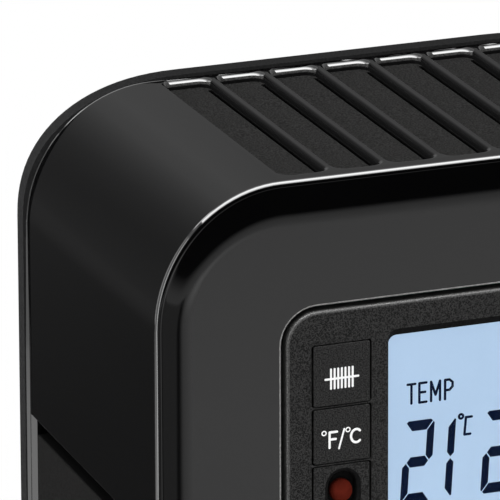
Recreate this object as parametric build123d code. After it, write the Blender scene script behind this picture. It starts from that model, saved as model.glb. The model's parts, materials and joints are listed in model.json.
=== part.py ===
from build123d import *
import math
import os

# Oil filled radiator heater on casters. Millimetres: X across, Y from front to back, Z up from the floor.
# The origin lies on the floor, under the middle of the heater.

# Casters
wheel_radius = 19.0
wheel_width = 9.0
wheel_edge = 1.6
wheel_side_gap = 0.4
caster_web = 8.0
caster_trail = 15.0
caster_height = 52.0
hood_gap = 1.2
hood_wall = 2.4
collar_diameter = 16.0
stem_diameter = 8.0
stem_length = 11.0
axle_diameter = 5.0
axle_head_diameter = 8.0
axle_head_length = 1.4
axle_head_play = 0.3
wheel_dish_diameter = 11.0
wheel_dish_depth = 2.0
axle_boss_diameter = 14.0
turning_play = 0.05

# Feet, their clamps and wing nuts
foot_length = 236.0
foot_width = 52.0
foot_height = 23.0
foot_end_drop = 8.0
foot_flat_length = 124.0
foot_end_radius = 20.0
foot_wall = 3.0
caster_inset = 16.0
stem_headroom = 1.0
clamp_rod = 6.0
clamp_play = 0.3
clamp_hole_play = 0.4
clamp_tail = 3.0
nut_diameter = 12.0
nut_height = 6.0
wing_span = 26.0
wing_thickness = 2.4
wing_rise = 4.0
thread_play = 0.05

# Fins
fin_count = 7
fin_pitch = 38.0
fin_width = 142.0
fin_height = 520.0
fin_radius = 42.0
fin_sheet = 2.0
channel_rise = 4.2
channel_width = 24.0
channel_spacing = 40.0
channel_margin = 40.0
channel_slope = 35.0
hub_rise = 46.0
hub_foot_radius = 36.0
hub_neck_radius = 24.0
hub_neck_length = 8.0
gallery_radius = 18.0
plug_radius = 7.0
plug_depth = 6.0
plug_head_radius = 10.0
plug_head_length = 4.0
plug_edge = 1.5

# Control housing
housing_width = 158.2
housing_height = 545.0
housing_over_fins = 45.0
seam_depth = 80.0
band_depth = 7.0
band_step = 0.9
band_edge = 2.4
side_draft = 0.7
top_draft = 1.8
corner_radius = 29.5
bevel_rise = 1.4
bevel_width = 6.0
shell_wall = 2.4
back_wall = 2.6
lip_length = 2.4
lip_wall = 1.6
lip_play = 0.3

# Vent pockets in the top of the front shell
pocket_count = 7
pocket_pitch = 13.3
pocket_width = 9.9
pocket_front = 5.0
pocket_length = 71.5
pocket_depth = 2.0
pocket_corner = 2.0
pocket_slope = 12.0
slit_width = 1.8
slit_end = 6.0
vent_floor = 2.0

# Air inlet slots in the underside
inlet_count = 6
inlet_pitch = 9.0
inlet_width = 3.0
inlet_length = 40.0
inlet_centre_x = -34.0

# Side windows and their inlays
window_drop = 76.7
window_slope = 4.2
window_front = 10.0
window_rear_wall = 3.4
window_lift = 80.0
window_corner = 4.0
inlay_thickness = 2.0
inlay_margin = 6.0
inlay_rear_margin = 0.6

# Housing screws
screw_inset = 3.8
screw_end_distance = 46.0
screw_boss_diameter = 10.0
screw_boss_length = 30.0
screw_depth = 16.0
screw_diameter = 3.8
screw_hole_play = 0.1
screw_head_diameter = 7.6
screw_head_length = 2.6
screw_head_play = 0.3
screw_head_sink = 3.6

# Control panel
panel_drop = 68.1
bezel_width = 95.6
bezel_height = 76.7
bezel_radius = 7.0
bezel_proud = 0.4
bezel_groove = 0.9
bezel_flange = 2.0
bezel_flange_lip = 4.0
cell = 14.2
key_row_count = 4
key_gap = 0.4
key_column_x = 32.85
key_corner = 0.9
key_proud = 0.2
key_travel = 0.6
key_flange_lip = 1.2
key_flange = 1.0
key_stem_diameter = 5.0
cell_line = 0.4
cell_line_depth = 0.6

# Display
lcd_width = 42.5
lcd_height = 58.2
lcd_corner = 2.0
lens_depth = 1.2
lens_lip = 1.6
lens_thickness = 1.6
lens_play = 0.2
lcd_glass_lip = 1.2
lcd_frame_lip = 2.3

# Receiver dome
dome_radius = 2.9
dome_play = 0.3
dome_sink = 0.3
dish_radius = 4.7
dish_depth = 1.8
dome_flange_radius = 4.4
dome_flange = 1.0

# Boards
board_thickness = 1.6
board_gap = 7.5
board_margin = 2.0
post_diameter = 6.0
post_inset = 5.0
tact_side = 6.0
tact_height = 3.4
tact_plunger_diameter = 3.4
tact_plunger = 0.9
tact_clearance = 0.3
power_board_width = 96.0
power_board_height = 130.0
power_board_drop = 250.0
power_boss_diameter = 7.0
power_boss_height = 9.0
power_boss_inset = 6.0
relay_width = 20.0
relay_height = 28.0
relay_depth = 16.0
relay_spacing = 30.0
relay_rise = 28.0
capacitor_radius = 8.0
capacitor_length = 24.0
capacitor_drop = 30.0

# Heating element and the bolt that ties the housing to the upper header
element_plug_radius = 16.0
element_plug_length = 14.0
element_hole_play = 0.5
element_hex = 40.0
element_flange = 7.0
element_tube = 8.5
element_tube_spacing = 17.0
element_length = 200.0
terminal_width = 6.3
terminal_thickness = 0.8
terminal_length = 14.0
gasket_radius = 21.5
gasket_thickness = 2.0
tie_bolt_diameter = 8.0
tie_bolt_depth = 14.0
tie_bolt_hex = 13.0
tie_bolt_head = 5.5
tie_washer_radius = 11.0
tie_washer = 1.6
tie_hole_play = 0.3

# Overheat cut-out and room sensor
cutout_radius = 8.0
cutout_height = 9.0
cutout_flange_width = 26.0
cutout_flange_height = 14.0
cutout_flange = 1.2
cutout_offset = 42.0
sensor_width = 12.0
sensor_height = 16.0
sensor_depth = 9.0
sensor_bead_radius = 2.5
sensor_bead_length = 8.0
sensor_x = 34.0
sensor_rise = 38.0

# Tip-over switch
tip_drop = 49.6
tip_x = -36.0
tip_base_width = 44.0
tip_base_height = 62.0
tip_base = 2.5
tip_boss_radius = 5.0
tip_boss_length = 6.0
tip_pin_diameter = 3.0
tip_pin_head_radius = 3.0
tip_pin_head_length = 1.5
tip_arm_length = 30.0
tip_arm_width = 5.0
tip_arm_thickness = 6.0
tip_hub_radius = 4.5
tip_weight_radius = 9.0
tip_side_gap = 0.4
tip_swing = 22.0
tip_stop_radius = 2.0
tip_stop_clearance = 0.6

# Cord inlet
gland_x = 44.0
gland_y_share = 0.55
gland_bore_radius = 3.75
gland_neck_radius = 7.0
gland_neck_play = 0.1
gland_flange_radius = 11.0
gland_flange = 3.0
gland_flange_play = 0.4
gland_pad_radius = 13.5
gland_seat_rise = 4.4
gland_pad_rise = 12.0
gland_edge = 1.0

# Heights worked out from the stack of casters, feet and fins
axle_z = wheel_radius
foot_top = caster_height + foot_height
fin_bottom = foot_top
fin_mid_z = fin_bottom + fin_height / 2
lower_hub_z = fin_bottom + hub_rise
upper_hub_z = fin_bottom + fin_height - hub_rise
housing_top = fin_bottom + fin_height + housing_over_fins
housing_mid_z = housing_top - housing_height / 2

# Places from front to back, with the whole length centred on the origin
front_reach = bevel_rise + bezel_proud + key_proud
housing_depth = seam_depth + band_depth
overall_length = front_reach + housing_depth + fin_count * fin_pitch + plug_head_length
rim_y = front_reach - overall_length / 2
face_y = rim_y - bevel_rise
face_back_y = face_y + shell_wall
seam_y = rim_y + seam_depth
back_y = seam_y + band_depth
back_inner_y = back_y - back_wall
first_fin_y = back_y + fin_pitch / 2
last_fin_y = first_fin_y + (fin_count - 1) * fin_pitch
front_foot_y = first_fin_y + fin_pitch / 2
rear_foot_y = last_fin_y - fin_pitch / 2
caster_x = foot_length / 2 - caster_inset

# Housing sections at the seam and at the rim
seam_width = housing_width - 2 * band_step
seam_height = housing_height - 2 * band_step
rim_width = seam_width - 2 * side_draft
rim_height = seam_height - 2 * top_draft
band_radius = corner_radius + band_step
rim_top_z = housing_mid_z + rim_height / 2
rim_bottom_z = housing_mid_z - rim_height / 2
panel_z = rim_top_z - panel_drop

# Levels in the control panel, from its front to the board
bezel_front_y = face_y - bezel_proud
bezel_back_y = face_back_y + bezel_flange
lens_front_y = bezel_front_y + lens_depth
lens_back_y = lens_front_y + lens_thickness
board_front_y = bezel_back_y + board_gap
key_size = cell - key_gap
tact_tip_y = board_front_y - tact_height - tact_plunger

# Caster sizes worked out from the wheel
hood_inner = wheel_radius + hood_gap
hood_radius = hood_inner + hood_wall
wheel_inner_x = caster_web / 2 + wheel_side_gap
wheel_outer_x = wheel_inner_x + wheel_width
stem_hole_radius = stem_diameter / 2 + turning_play
clamp_bend = hub_neck_radius + clamp_play + clamp_rod / 2


def facing_plane(y, z, x=0.0):
    """Plane square to the Y axis, seen from the front, with its local Y axis up."""
    return Plane(origin=(x, y, z), x_dir=(1, 0, 0), z_dir=(0, -1, 0))


def slab(sketch, y_front, y_back, z, x=0.0):
    """Solid of a sketch drawn in a front view, from one depth to another."""
    return extrude(facing_plane(y_back, z, x) * sketch, y_back - y_front)


def rod_y(radius, y_front, y_back, z, x=0.0):
    """Round bar along the Y axis."""
    return slab(Circle(radius), y_front, y_back, z, x)


def rod_x(radius, x_from, x_to, y, z):
    """Round bar along the X axis."""
    plane = Plane(origin=(x_from, y, z), x_dir=(0, 1, 0), z_dir=(1, 0, 0))
    return extrude(plane * Circle(radius), x_to - x_from)


def rod_z(radius, z_from, z_to, x, y):
    """Upright round bar."""
    return extrude(Plane(origin=(x, y, z_from)) * Circle(radius), z_to - z_from)


def block(x_range, y_range, z_range):
    """Box between two corners, each range as (low, high)."""
    sizes = [high - low for low, high in (x_range, y_range, z_range)]
    middle = [(high + low) / 2 for low, high in (x_range, y_range, z_range)]
    return Pos(*middle) * Box(*sizes)


def turned_y(points, z, x=0.0):
    """Solid of revolution about an axis along Y, from (radius, y) points."""
    outline = Polyline([(x + radius, y, z) for radius, y in points], close=True)
    return revolve(make_face(outline), axis=Axis((x, 0, z), (0, 1, 0)))


# Housing shells


def half_width(y):
    """Half the front shell's width at one depth."""
    return rim_width / 2 + side_draft * (y - rim_y) / seam_depth


def half_height(y):
    """Half the front shell's height at one depth."""
    return rim_height / 2 + top_draft * (y - rim_y) / seam_depth


def drafted_body(y_front, y_back, inset=0.0):
    """Front shell's tapering form between two depths, inside its outside by the inset."""
    depths = (y_front, y_back, y_back, y_front)
    signs = (-1, -1, 1, 1)
    plan = [(sign * (half_width(y) - inset), y) for sign, y in zip(signs, depths)]
    side = [(y, sign * (half_height(y) - inset)) for sign, y in zip(signs, depths)]
    side_plane = Plane(origin=(0, 0, housing_mid_z), x_dir=(0, 1, 0), z_dir=(1, 0, 0))
    body = extrude(Plane.XY * make_face(Polyline(plan, close=True)), housing_top)
    body &= extrude(side_plane * make_face(Polyline(side, close=True)), housing_width, both=True)
    corners = [edge for edge in body.edges() if abs((edge @ 1 - edge @ 0).Y) > (y_back - y_front) / 2]
    return fillet(corners, corner_radius - inset)


def outer_body():
    """Front shell as a closed form, with the sloping border round its flat face."""
    body = drafted_body(face_y, seam_y)
    face = body.faces().sort_by(Axis.Y)[0]
    return chamfer(face.edges(), length=bevel_width, length2=bevel_rise, reference=face)


def screw_places():
    """X and Z of the four screws that join the two shells."""
    x = rim_width / 2 - shell_wall - screw_inset
    dz = housing_height / 2 - screw_end_distance
    return [(sx * x, housing_mid_z + sz * dz) for sx in (-1, 1) for sz in (-1, 1)]


def top_plane():
    """Plane on the sloping top of the front shell, its local Y axis running back from the rim."""
    slope = math.atan2(top_draft, seam_depth)
    return Plane(
        origin=(0, rim_y, rim_top_z),
        x_dir=(1, 0, 0),
        z_dir=(0, -math.sin(slope), math.cos(slope)),
    )


def vent_pockets():
    """Row of shallow pockets in the top, each with a slit along one wall."""
    pocket = RectangleRounded(pocket_width, pocket_length, pocket_corner)
    slit = Rectangle(slit_width, pocket_length - 2 * slit_end)
    middle_y = pocket_front + pocket_length / 2
    slit_x = pocket_width / 2 - slit_width / 2 - pocket_depth * math.tan(math.radians(pocket_slope))
    cuts = []
    for index in range(pocket_count):
        x = (index - (pocket_count - 1) / 2) * pocket_pitch
        cuts.append(extrude(top_plane() * Pos(x, middle_y) * pocket, -pocket_depth, taper=pocket_slope))
        through = 2 * (pocket_depth + vent_floor)
        cuts.append(extrude(top_plane() * Pos(x + slit_x, middle_y) * slit, -through))
    return cuts


def vent_floor_block():
    """Thicker part of the top wall that carries the vent pockets."""
    half = pocket_count * pocket_pitch / 2
    low = rim_top_z - pocket_depth - vent_floor
    region = block((-half, half), (face_back_y, seam_y - lip_length - lip_play), (low, housing_top))
    return region & drafted_body(rim_y, seam_y)


def inlet_slots():
    """Row of air slots through the underside."""
    y = (rim_y + seam_y) / 2
    slot = SlotOverall(inlet_length, inlet_width, rotation=90)
    cuts = []
    for index in range(inlet_count):
        x = inlet_centre_x + (index - (inlet_count - 1) / 2) * inlet_pitch
        plane = Plane(origin=(x, y, rim_bottom_z - top_draft))
        cuts.append(extrude(plane * slot, 2 * (shell_wall + top_draft)))
    return cuts


def window_region(side, margin=0.0, rear_margin=0.0):
    """Side window's outline, drawn out from the middle past one side: -1 left, +1 right."""
    slope = math.tan(math.radians(window_slope))
    rear = seam_depth - window_rear_wall
    low = rim_bottom_z + window_lift - margin
    top_rear = rim_top_z - window_drop + margin
    front = window_front - margin
    back = rear + rear_margin
    corners = [
        (front, low),
        (back, low),
        (back, top_rear),
        (front, top_rear - slope * (back - front)),
    ]
    plane = Plane(origin=(0, rim_y, 0), x_dir=(0, 1, 0), z_dir=(1, 0, 0))
    outline = make_face(Polyline(corners, close=True))
    rounded = fillet(outline.vertices(), window_corner)
    return extrude(plane * rounded, side * housing_width)


def gland_y():
    """Depth of the cord inlet behind the rim."""
    return rim_y + gland_y_share * seam_depth


def front_shell():
    """Hollow gloss front half of the housing."""
    shell = outer_body()
    shell -= drafted_body(face_back_y, seam_y, shell_wall)
    shell += vent_floor_block()
    for x, z in screw_places():
        shell += rod_y(screw_boss_diameter / 2, seam_y - screw_boss_length, seam_y, z, x)
    seat_z = rim_bottom_z + gland_seat_rise
    pad_z = rim_bottom_z + gland_pad_rise
    shell += rod_z(gland_pad_radius, rim_bottom_z + shell_wall / 2, pad_z, gland_x, gland_y())
    for x, z in screw_places():
        hole_radius = screw_diameter / 2 + screw_hole_play / 2
        shell -= rod_y(hole_radius, seam_y - screw_depth - screw_hole_play, seam_y, z, x)
    groove = 2 * bezel_groove
    opening = RectangleRounded(bezel_width + groove, bezel_height + groove, bezel_radius + bezel_groove)
    shell -= slab(opening, face_y, face_back_y, panel_z)
    shell -= [window_region(-1), window_region(1)]
    shell -= vent_pockets()
    shell -= inlet_slots()
    recess_radius = gland_flange_radius + gland_flange_play
    shell -= rod_z(recess_radius, rim_bottom_z - top_draft, seat_z, gland_x, gland_y())
    shell -= rod_z(gland_neck_radius + gland_neck_play, seat_z, pad_z, gland_x, gland_y())
    return shell


def rear_shell():
    """Rear half of the housing: a tray with a locating lip, bosses and the holes to the fins."""
    outline = RectangleRounded(housing_width, housing_height, band_radius)
    shell = slab(outline, seam_y, back_y, housing_mid_z)
    shell = fillet(shell.faces().sort_by(Axis.Y)[-1].edges(), band_edge)
    shell -= drafted_body(seam_y, back_inner_y, shell_wall)
    lip_front_y = seam_y - lip_length
    lip_back_y = seam_y + lip_length
    lip_outset = shell_wall + lip_play
    shell += drafted_body(lip_front_y, seam_y, lip_outset) + drafted_body(seam_y, lip_back_y, shell_wall)
    shell -= drafted_body(lip_front_y, back_inner_y, lip_outset + lip_wall)
    for x, z in screw_places():
        shell += rod_y(screw_boss_diameter / 2, seam_y, back_inner_y, z, x)
        # The lip stops short of the front shell's bosses.
        relief = screw_boss_diameter / 2 + lip_play
        shell -= rod_y(relief, lip_front_y, seam_y, z, x)
    for x, z in power_boss_places():
        shell += rod_y(power_boss_diameter / 2, back_inner_y - power_boss_height, back_inner_y, z, x)
    for x, z in screw_places():
        shell -= rod_y(screw_diameter / 2 + screw_hole_play, seam_y, back_y, z, x)
        shell -= rod_y(screw_head_diameter / 2 + screw_head_play, back_y - screw_head_sink, back_y, z, x)
    shell -= rod_y(element_plug_radius + element_hole_play, back_inner_y, back_y, lower_hub_z)
    shell -= rod_y(tie_bolt_diameter / 2 + tie_hole_play, back_inner_y, back_y, upper_hub_z)
    return shell


def side_inlay(side):
    """Textured inlay behind one side window, side -1 left and +1 right."""
    front_y = rim_y + window_front - inlay_margin
    outer = drafted_body(front_y, seam_y, shell_wall)
    inner = drafted_body(front_y, seam_y, shell_wall + inlay_thickness)
    return (outer & window_region(side, inlay_margin, inlay_rear_margin)) - inner


def housing_screws():
    """Four screws that join the shells from behind."""
    screws = []
    for x, z in screw_places():
        head_front = back_y - screw_head_sink
        head = rod_y(screw_head_diameter / 2, head_front, head_front + screw_head_length, z, x)
        screws.append(head + rod_y(screw_diameter / 2, seam_y - screw_depth, head_front, z, x))
    return Compound(children=screws)


def cord_gland():
    """Flanged bush that the mains lead passes through."""
    seat_z = rim_bottom_z + gland_seat_rise
    flange = rod_z(gland_flange_radius, seat_z - gland_flange, seat_z, gland_x, gland_y())
    flange = fillet(flange.faces().sort_by(Axis.Z)[0].edges(), gland_edge)
    top = rim_bottom_z + gland_pad_rise
    body = flange + rod_z(gland_neck_radius, seat_z, top, gland_x, gland_y())
    return body - rod_z(gland_bore_radius, seat_z - gland_flange, top, gland_x, gland_y())


# Control panel


def cell_place(column, row):
    """Centre of one cell: column -1 left or +1 right, row 0 at the top."""
    return column * key_column_x, panel_z + ((key_row_count - 1) / 2 - row) * cell


def key_opening(column, first_row, last_row):
    """Opening in the bezel for a run of keys in one column."""
    x, top_z = cell_place(column, first_row)
    low_z = cell_place(column, last_row)[1]
    height = top_z - low_z + cell
    opening = RectangleRounded(cell, height, key_corner + key_gap / 2)
    return slab(opening, bezel_front_y, bezel_back_y, (top_z + low_z) / 2, x)


def post_places():
    """X and Z of the posts between the bezel and the control board."""
    dx = bezel_width / 2 - post_inset
    dz = bezel_height / 2 - post_inset
    return [(sx * dx, panel_z + sz * dz) for sx in (-1, 1) for sz in (-1, 1)]


def control_bezel():
    """Textured frame of the control panel, put in from behind and carried by its flange."""
    outline = RectangleRounded(bezel_width, bezel_height, bezel_radius)
    lip = 2 * bezel_flange_lip
    flange = RectangleRounded(bezel_width + lip, bezel_height + lip, bezel_radius + bezel_flange_lip)
    bezel = slab(outline, bezel_front_y, face_back_y, panel_z)
    bezel += slab(flange, face_back_y, bezel_back_y, panel_z)
    for x, z in post_places():
        bezel += rod_y(post_diameter / 2, bezel_back_y, board_front_y, z, x)
    for column, first_row, last_row in ((-1, 0, 1), (-1, 3, 3), (1, 0, 3)):
        bezel -= key_opening(column, first_row, last_row)
    x, z = cell_place(-1, 2)
    for side in (-1, 1):
        line_x = x + side * (cell - cell_line) / 2
        bezel -= slab(Rectangle(cell_line, cell), bezel_front_y, bezel_front_y + cell_line_depth, z, line_x)
    hole = dome_radius + dome_play
    dish_y = bezel_front_y + dish_depth
    bezel -= turned_y([(0, bezel_front_y), (dish_radius, bezel_front_y), (hole, dish_y), (0, dish_y)], z, x)
    bezel -= rod_y(hole, dish_y, bezel_back_y, z, x)
    bezel -= slab(RectangleRounded(lcd_width, lcd_height, lcd_corner), bezel_front_y, lens_front_y, panel_z)
    seat = 2 * (lens_lip + lens_play)
    bezel -= slab(Rectangle(lcd_width + seat, lcd_height + seat), lens_front_y, bezel_back_y, panel_z)
    return bezel


def lcd_lens():
    """Clear window in front of the display."""
    lens = Rectangle(lcd_width + 2 * lens_lip, lcd_height + 2 * lens_lip)
    return slab(lens, lens_front_y, lens_back_y, panel_z)


def lcd_module():
    """Display glass with the light box behind it."""
    glass = Rectangle(lcd_width + 2 * lcd_glass_lip, lcd_height + 2 * lcd_glass_lip)
    frame = Rectangle(lcd_width + 2 * lcd_frame_lip, lcd_height + 2 * lcd_frame_lip)
    module = slab(glass, lens_back_y, bezel_back_y, panel_z)
    return module + slab(frame, bezel_back_y, board_front_y, panel_z)


def control_board():
    """Circuit board behind the control panel."""
    board = Rectangle(bezel_width - 2 * board_margin, bezel_height - 2 * board_margin)
    return slab(board, board_front_y, board_front_y + board_thickness, panel_z)


def tact_switches(places):
    """Small switches on the control board, one behind each key."""
    switches = []
    for x, z in places:
        body = slab(Rectangle(tact_side, tact_side), board_front_y - tact_height, board_front_y, z, x)
        plunger = rod_y(tact_plunger_diameter / 2, tact_tip_y, board_front_y - tact_height, z, x)
        switches.append(body + plunger)
    return Compound(children=switches)


def key(column, row):
    """Square key with side flanges behind the bezel and a stem towards its switch."""
    x, z = cell_place(column, row)
    face = RectangleRounded(key_size, key_size, key_corner)
    cap = slab(face, bezel_front_y - key_proud, bezel_back_y, z, x)
    flange = Rectangle(cell + 2 * key_flange_lip, key_size)
    cap += slab(flange, bezel_back_y, bezel_back_y + key_flange, z, x)
    stem_end_y = tact_tip_y - key_travel - tact_clearance
    return cap + rod_y(key_stem_diameter / 2, bezel_back_y + key_flange, stem_end_y, z, x)


def ir_window():
    """Red receiver dome in the third cell of the left column."""
    x, z = cell_place(-1, 2)
    tip_y = bezel_front_y + dome_sink
    middle_y = tip_y + dome_radius
    outline = Polyline([(x, tip_y + dome_radius, z), (x, bezel_back_y + dome_flange, z),
                        (x + dome_flange_radius, bezel_back_y + dome_flange, z),
                        (x + dome_flange_radius, bezel_back_y, z), (x + dome_radius, bezel_back_y, z),
                        (x + dome_radius, middle_y, z)])
    arc = RadiusArc((x + dome_radius, middle_y, z), (x, tip_y, z), dome_radius)
    axis_line = Line((x, tip_y, z), (x, tip_y + dome_radius, z))
    return revolve(make_face(outline + arc + axis_line), axis=Axis((x, 0, z), (0, 1, 0)))


# Electrics inside the housing


def power_board_z():
    """Height of the power board's middle."""
    return rim_top_z - power_board_drop


def power_boss_places():
    """X and Z of the bosses that carry the power board."""
    dx = power_board_width / 2 - power_boss_inset
    dz = power_board_height / 2 - power_boss_inset
    return [(sx * dx, power_board_z() + sz * dz) for sx in (-1, 1) for sz in (-1, 1)]


def power_board_back_y():
    """Depth of the power board's rear face, on its bosses."""
    return back_inner_y - power_boss_height


def power_board():
    """Circuit board that switches the element."""
    back = power_board_back_y()
    board = Rectangle(power_board_width, power_board_height)
    return slab(board, back - board_thickness, back, power_board_z())


def relays():
    """Two relays and a capacitor on the power board."""
    front = power_board_back_y() - board_thickness
    parts = []
    for side in (-1, 1):
        x = side * relay_spacing / 2
        relay = Rectangle(relay_width, relay_height)
        parts.append(slab(relay, front - relay_depth, front, power_board_z() + relay_rise, x))
    parts.append(rod_y(capacitor_radius, front - capacitor_length, front, power_board_z() - capacitor_drop))
    return Compound(children=parts)


def thermal_cutout():
    """Disc cut-out on the back wall, beside the upper header."""
    z = upper_hub_z - cutout_offset
    flange = SlotOverall(cutout_flange_width, cutout_flange_height)
    plate = slab(flange, back_inner_y - cutout_flange, back_inner_y, z)
    return plate + rod_y(cutout_radius, back_inner_y - cutout_height, back_inner_y - cutout_flange, z)


def room_sensor():
    """Thermistor holder near the air inlet."""
    z = rim_bottom_z + sensor_rise
    bead_back = back_inner_y - sensor_depth
    holder = slab(Rectangle(sensor_width, sensor_height), bead_back, back_inner_y, z, sensor_x)
    return holder + rod_y(sensor_bead_radius, bead_back - sensor_bead_length, bead_back, z, sensor_x)


def tip_base_front_y():
    """Front face of the tip switch's base plate."""
    return back_inner_y - tip_base


def tip_pivot_z():
    """Height of the pendulum's pin, below the power board."""
    return power_board_z() - power_board_height / 2 - tip_drop


def tip_arm_back_y():
    """Rear face of the pendulum, just clear of the pin's boss."""
    return tip_base_front_y() - tip_boss_length - tip_side_gap


def tip_switch_frame():
    """Base plate with the pin's boss and two stops for the pendulum."""
    z = tip_pivot_z()
    plate = RectangleRounded(tip_base_width, tip_base_height, tip_boss_radius)
    frame = slab(plate, tip_base_front_y(), back_inner_y, z - tip_arm_length / 2, tip_x)
    boss_front = tip_base_front_y() - tip_boss_length
    frame += rod_y(tip_boss_radius, boss_front, tip_base_front_y(), z, tip_x)
    frame -= rod_y(tip_pin_diameter / 2, boss_front, tip_base_front_y(), z, tip_x)
    angle = math.radians(tip_swing) + math.asin(tip_arm_width / tip_arm_length)
    angle += math.asin((tip_stop_radius + tip_stop_clearance) / tip_arm_length * 2)
    for side in (-1, 1):
        stop_x = tip_x + side * tip_arm_length / 2 * math.sin(angle)
        stop_z = z - tip_arm_length / 2 * math.cos(angle)
        stop_front = tip_arm_back_y() - tip_arm_thickness
        frame += rod_y(tip_stop_radius, stop_front, tip_base_front_y(), stop_z, stop_x)
    return frame


def tip_pin():
    """Headed pin that the pendulum swings on."""
    z = tip_pivot_z()
    head_back = tip_arm_back_y() - tip_arm_thickness - tip_side_gap
    pin = rod_y(tip_pin_diameter / 2, head_back, tip_base_front_y(), z, tip_x)
    return pin + rod_y(tip_pin_head_radius, head_back - tip_pin_head_length, head_back, z, tip_x)


def tip_pendulum():
    """Weighted arm of the tip-over switch."""
    z = tip_pivot_z()
    back = tip_arm_back_y()
    front = back - tip_arm_thickness
    arm = slab(Rectangle(tip_arm_width, tip_arm_length), front, back, z - tip_arm_length / 2, tip_x)
    arm += rod_y(tip_hub_radius, front, back, z, tip_x)
    arm += rod_y(tip_weight_radius, front, back, z - tip_arm_length, tip_x)
    return arm - rod_y(tip_pin_diameter / 2 + turning_play, front, back, z, tip_x)


# Radiator


def fin_y(index):
    """Depth of one fin's middle, counted from 0 at the front."""
    return first_fin_y + index * fin_pitch


def hub(y, z):
    """Dished hub on both faces of a fin, as wide as the fin pitch so that hubs meet."""
    half = fin_pitch / 2
    neck = half - hub_neck_length
    sheet = fin_sheet / 2
    points = [
        (0, y - half),
        (hub_neck_radius, y - half),
        (hub_neck_radius, y - neck),
        (hub_foot_radius, y - sheet),
        (hub_foot_radius, y + sheet),
        (hub_neck_radius, y + neck),
        (hub_neck_radius, y + half),
        (0, y + half),
    ]
    return turned_y(points, z)


def fin(index):
    """Pressed fin with upright oil channels and a hub at each end."""
    y = fin_y(index)
    sheet = fin_sheet / 2
    plate = slab(RectangleRounded(fin_width, fin_height, fin_radius), y - sheet, y + sheet, fin_mid_z)
    channel = SlotOverall(fin_height - 2 * channel_margin, channel_width, rotation=90)
    for x in (-channel_spacing, 0, channel_spacing):
        for side in (-1, 1):
            plane = Plane(origin=(x, y + side * sheet, fin_mid_z), x_dir=(1, 0, 0), z_dir=(0, side, 0))
            plate += extrude(plane * channel, channel_rise, taper=channel_slope)
    plate += hub(y, lower_hub_z) + hub(y, upper_hub_z)
    half = fin_pitch / 2
    last = index == fin_count - 1
    plate -= rod_y(gallery_radius, y - half, y + (sheet if last else half), lower_hub_z)
    if index == 0:
        hole = tie_bolt_diameter / 2 + thread_play
        plate -= rod_y(hole, y - half, y - half + tie_bolt_depth, upper_hub_z)
    if last:
        plate -= rod_y(plug_radius + thread_play, y + half - plug_depth, y + half, upper_hub_z)
    return plate


def filler_plug():
    """Oil filler plug in the last fin's upper hub."""
    face = back_y + fin_count * fin_pitch
    head = rod_y(plug_head_radius, face, face + plug_head_length, upper_hub_z)
    head = fillet(head.faces().sort_by(Axis.Y)[-1].edges(), plug_edge)
    return head + rod_y(plug_radius, face - plug_depth, face, upper_hub_z)


def heating_element():
    """U-shaped tubular element on a hexagon plug, clamped through the back wall into the lower header."""
    flange_back = back_inner_y - gasket_thickness
    flange_front = flange_back - element_flange
    hexagon = RegularPolygon(element_hex / 2, 6, major_radius=False)
    element = slab(hexagon, flange_front, flange_back, lower_hub_z)
    element += rod_y(element_plug_radius, flange_back, back_y + element_plug_length, lower_hub_z)
    half = element_tube_spacing / 2
    start_y = back_y + element_plug_length
    bend_y = start_y + element_length
    path = Line((-half, start_y, lower_hub_z), (-half, bend_y, lower_hub_z))
    path += ThreePointArc(
        (-half, bend_y, lower_hub_z), (0, bend_y + half, lower_hub_z), (half, bend_y, lower_hub_z)
    )
    path += Line((half, bend_y, lower_hub_z), (half, start_y, lower_hub_z))
    tube = facing_plane(start_y, lower_hub_z, -half) * Circle(element_tube / 2)
    element += sweep(tube, path=path)
    for side in (-1, 1):
        blade = Rectangle(terminal_width, terminal_thickness)
        element += slab(blade, flange_front - terminal_length, flange_front, lower_hub_z, side * half)
    return element


def element_gasket():
    """Sealing ring between the element's flange and the back wall."""
    front = back_inner_y - gasket_thickness
    ring = rod_y(gasket_radius, front, back_inner_y, lower_hub_z)
    return ring - rod_y(element_plug_radius + element_hole_play, front, back_inner_y, lower_hub_z)


def tie_bolt():
    """Hexagon bolt that holds the back wall to the upper header."""
    washer_front = back_inner_y - tie_washer
    hexagon = RegularPolygon(tie_bolt_hex / 2, 6, major_radius=False)
    bolt = slab(hexagon, washer_front - tie_bolt_head, washer_front, upper_hub_z)
    bolt += rod_y(tie_washer_radius, washer_front, back_inner_y, upper_hub_z)
    return bolt + rod_y(tie_bolt_diameter / 2, back_inner_y, back_y + tie_bolt_depth, upper_hub_z)


# Feet and casters


def foot_form(inset):
    """Foot's closed form, inside its outside by the inset and open to below it."""
    low = caster_height - inset
    half_flat = foot_flat_length / 2
    half_end = foot_length / 2 - inset
    top = foot_top - inset
    outline = Polyline(
        [
            (-half_end, low),
            (half_end, low),
            (half_end, top - foot_end_drop),
            (half_flat, top),
            (-half_flat, top),
            (-half_end, top - foot_end_drop),
        ],
        close=True,
    )
    side_view = extrude(facing_plane(0, 0) * make_face(outline), foot_width, both=True)
    plan = RectangleRounded(foot_length - 2 * inset, foot_width - 2 * inset, foot_end_radius - inset)
    return side_view & extrude(Plane(origin=(0, 0, low)) * plan, foot_height + 2 * inset)


def foot(y):
    """Foot across the heater, hollow underneath, with a socket for a caster at each end."""
    outer = foot_form(0.0)
    shape = outer - foot_form(foot_wall)
    for side in (-1, 1):
        socket = rod_z(collar_diameter / 2, caster_height, foot_top, side * caster_x, 0)
        shape += socket & outer
    for side in (-1, 1):
        hole_top = caster_height + stem_length + stem_headroom
        shape -= rod_z(stem_hole_radius, caster_height, hole_top, side * caster_x, 0)
        hole = clamp_rod / 2 + clamp_hole_play
        shape -= rod_z(hole, foot_top - foot_wall, foot_top, side * clamp_bend, 0)
    return Pos(0, y, 0) * shape


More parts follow.
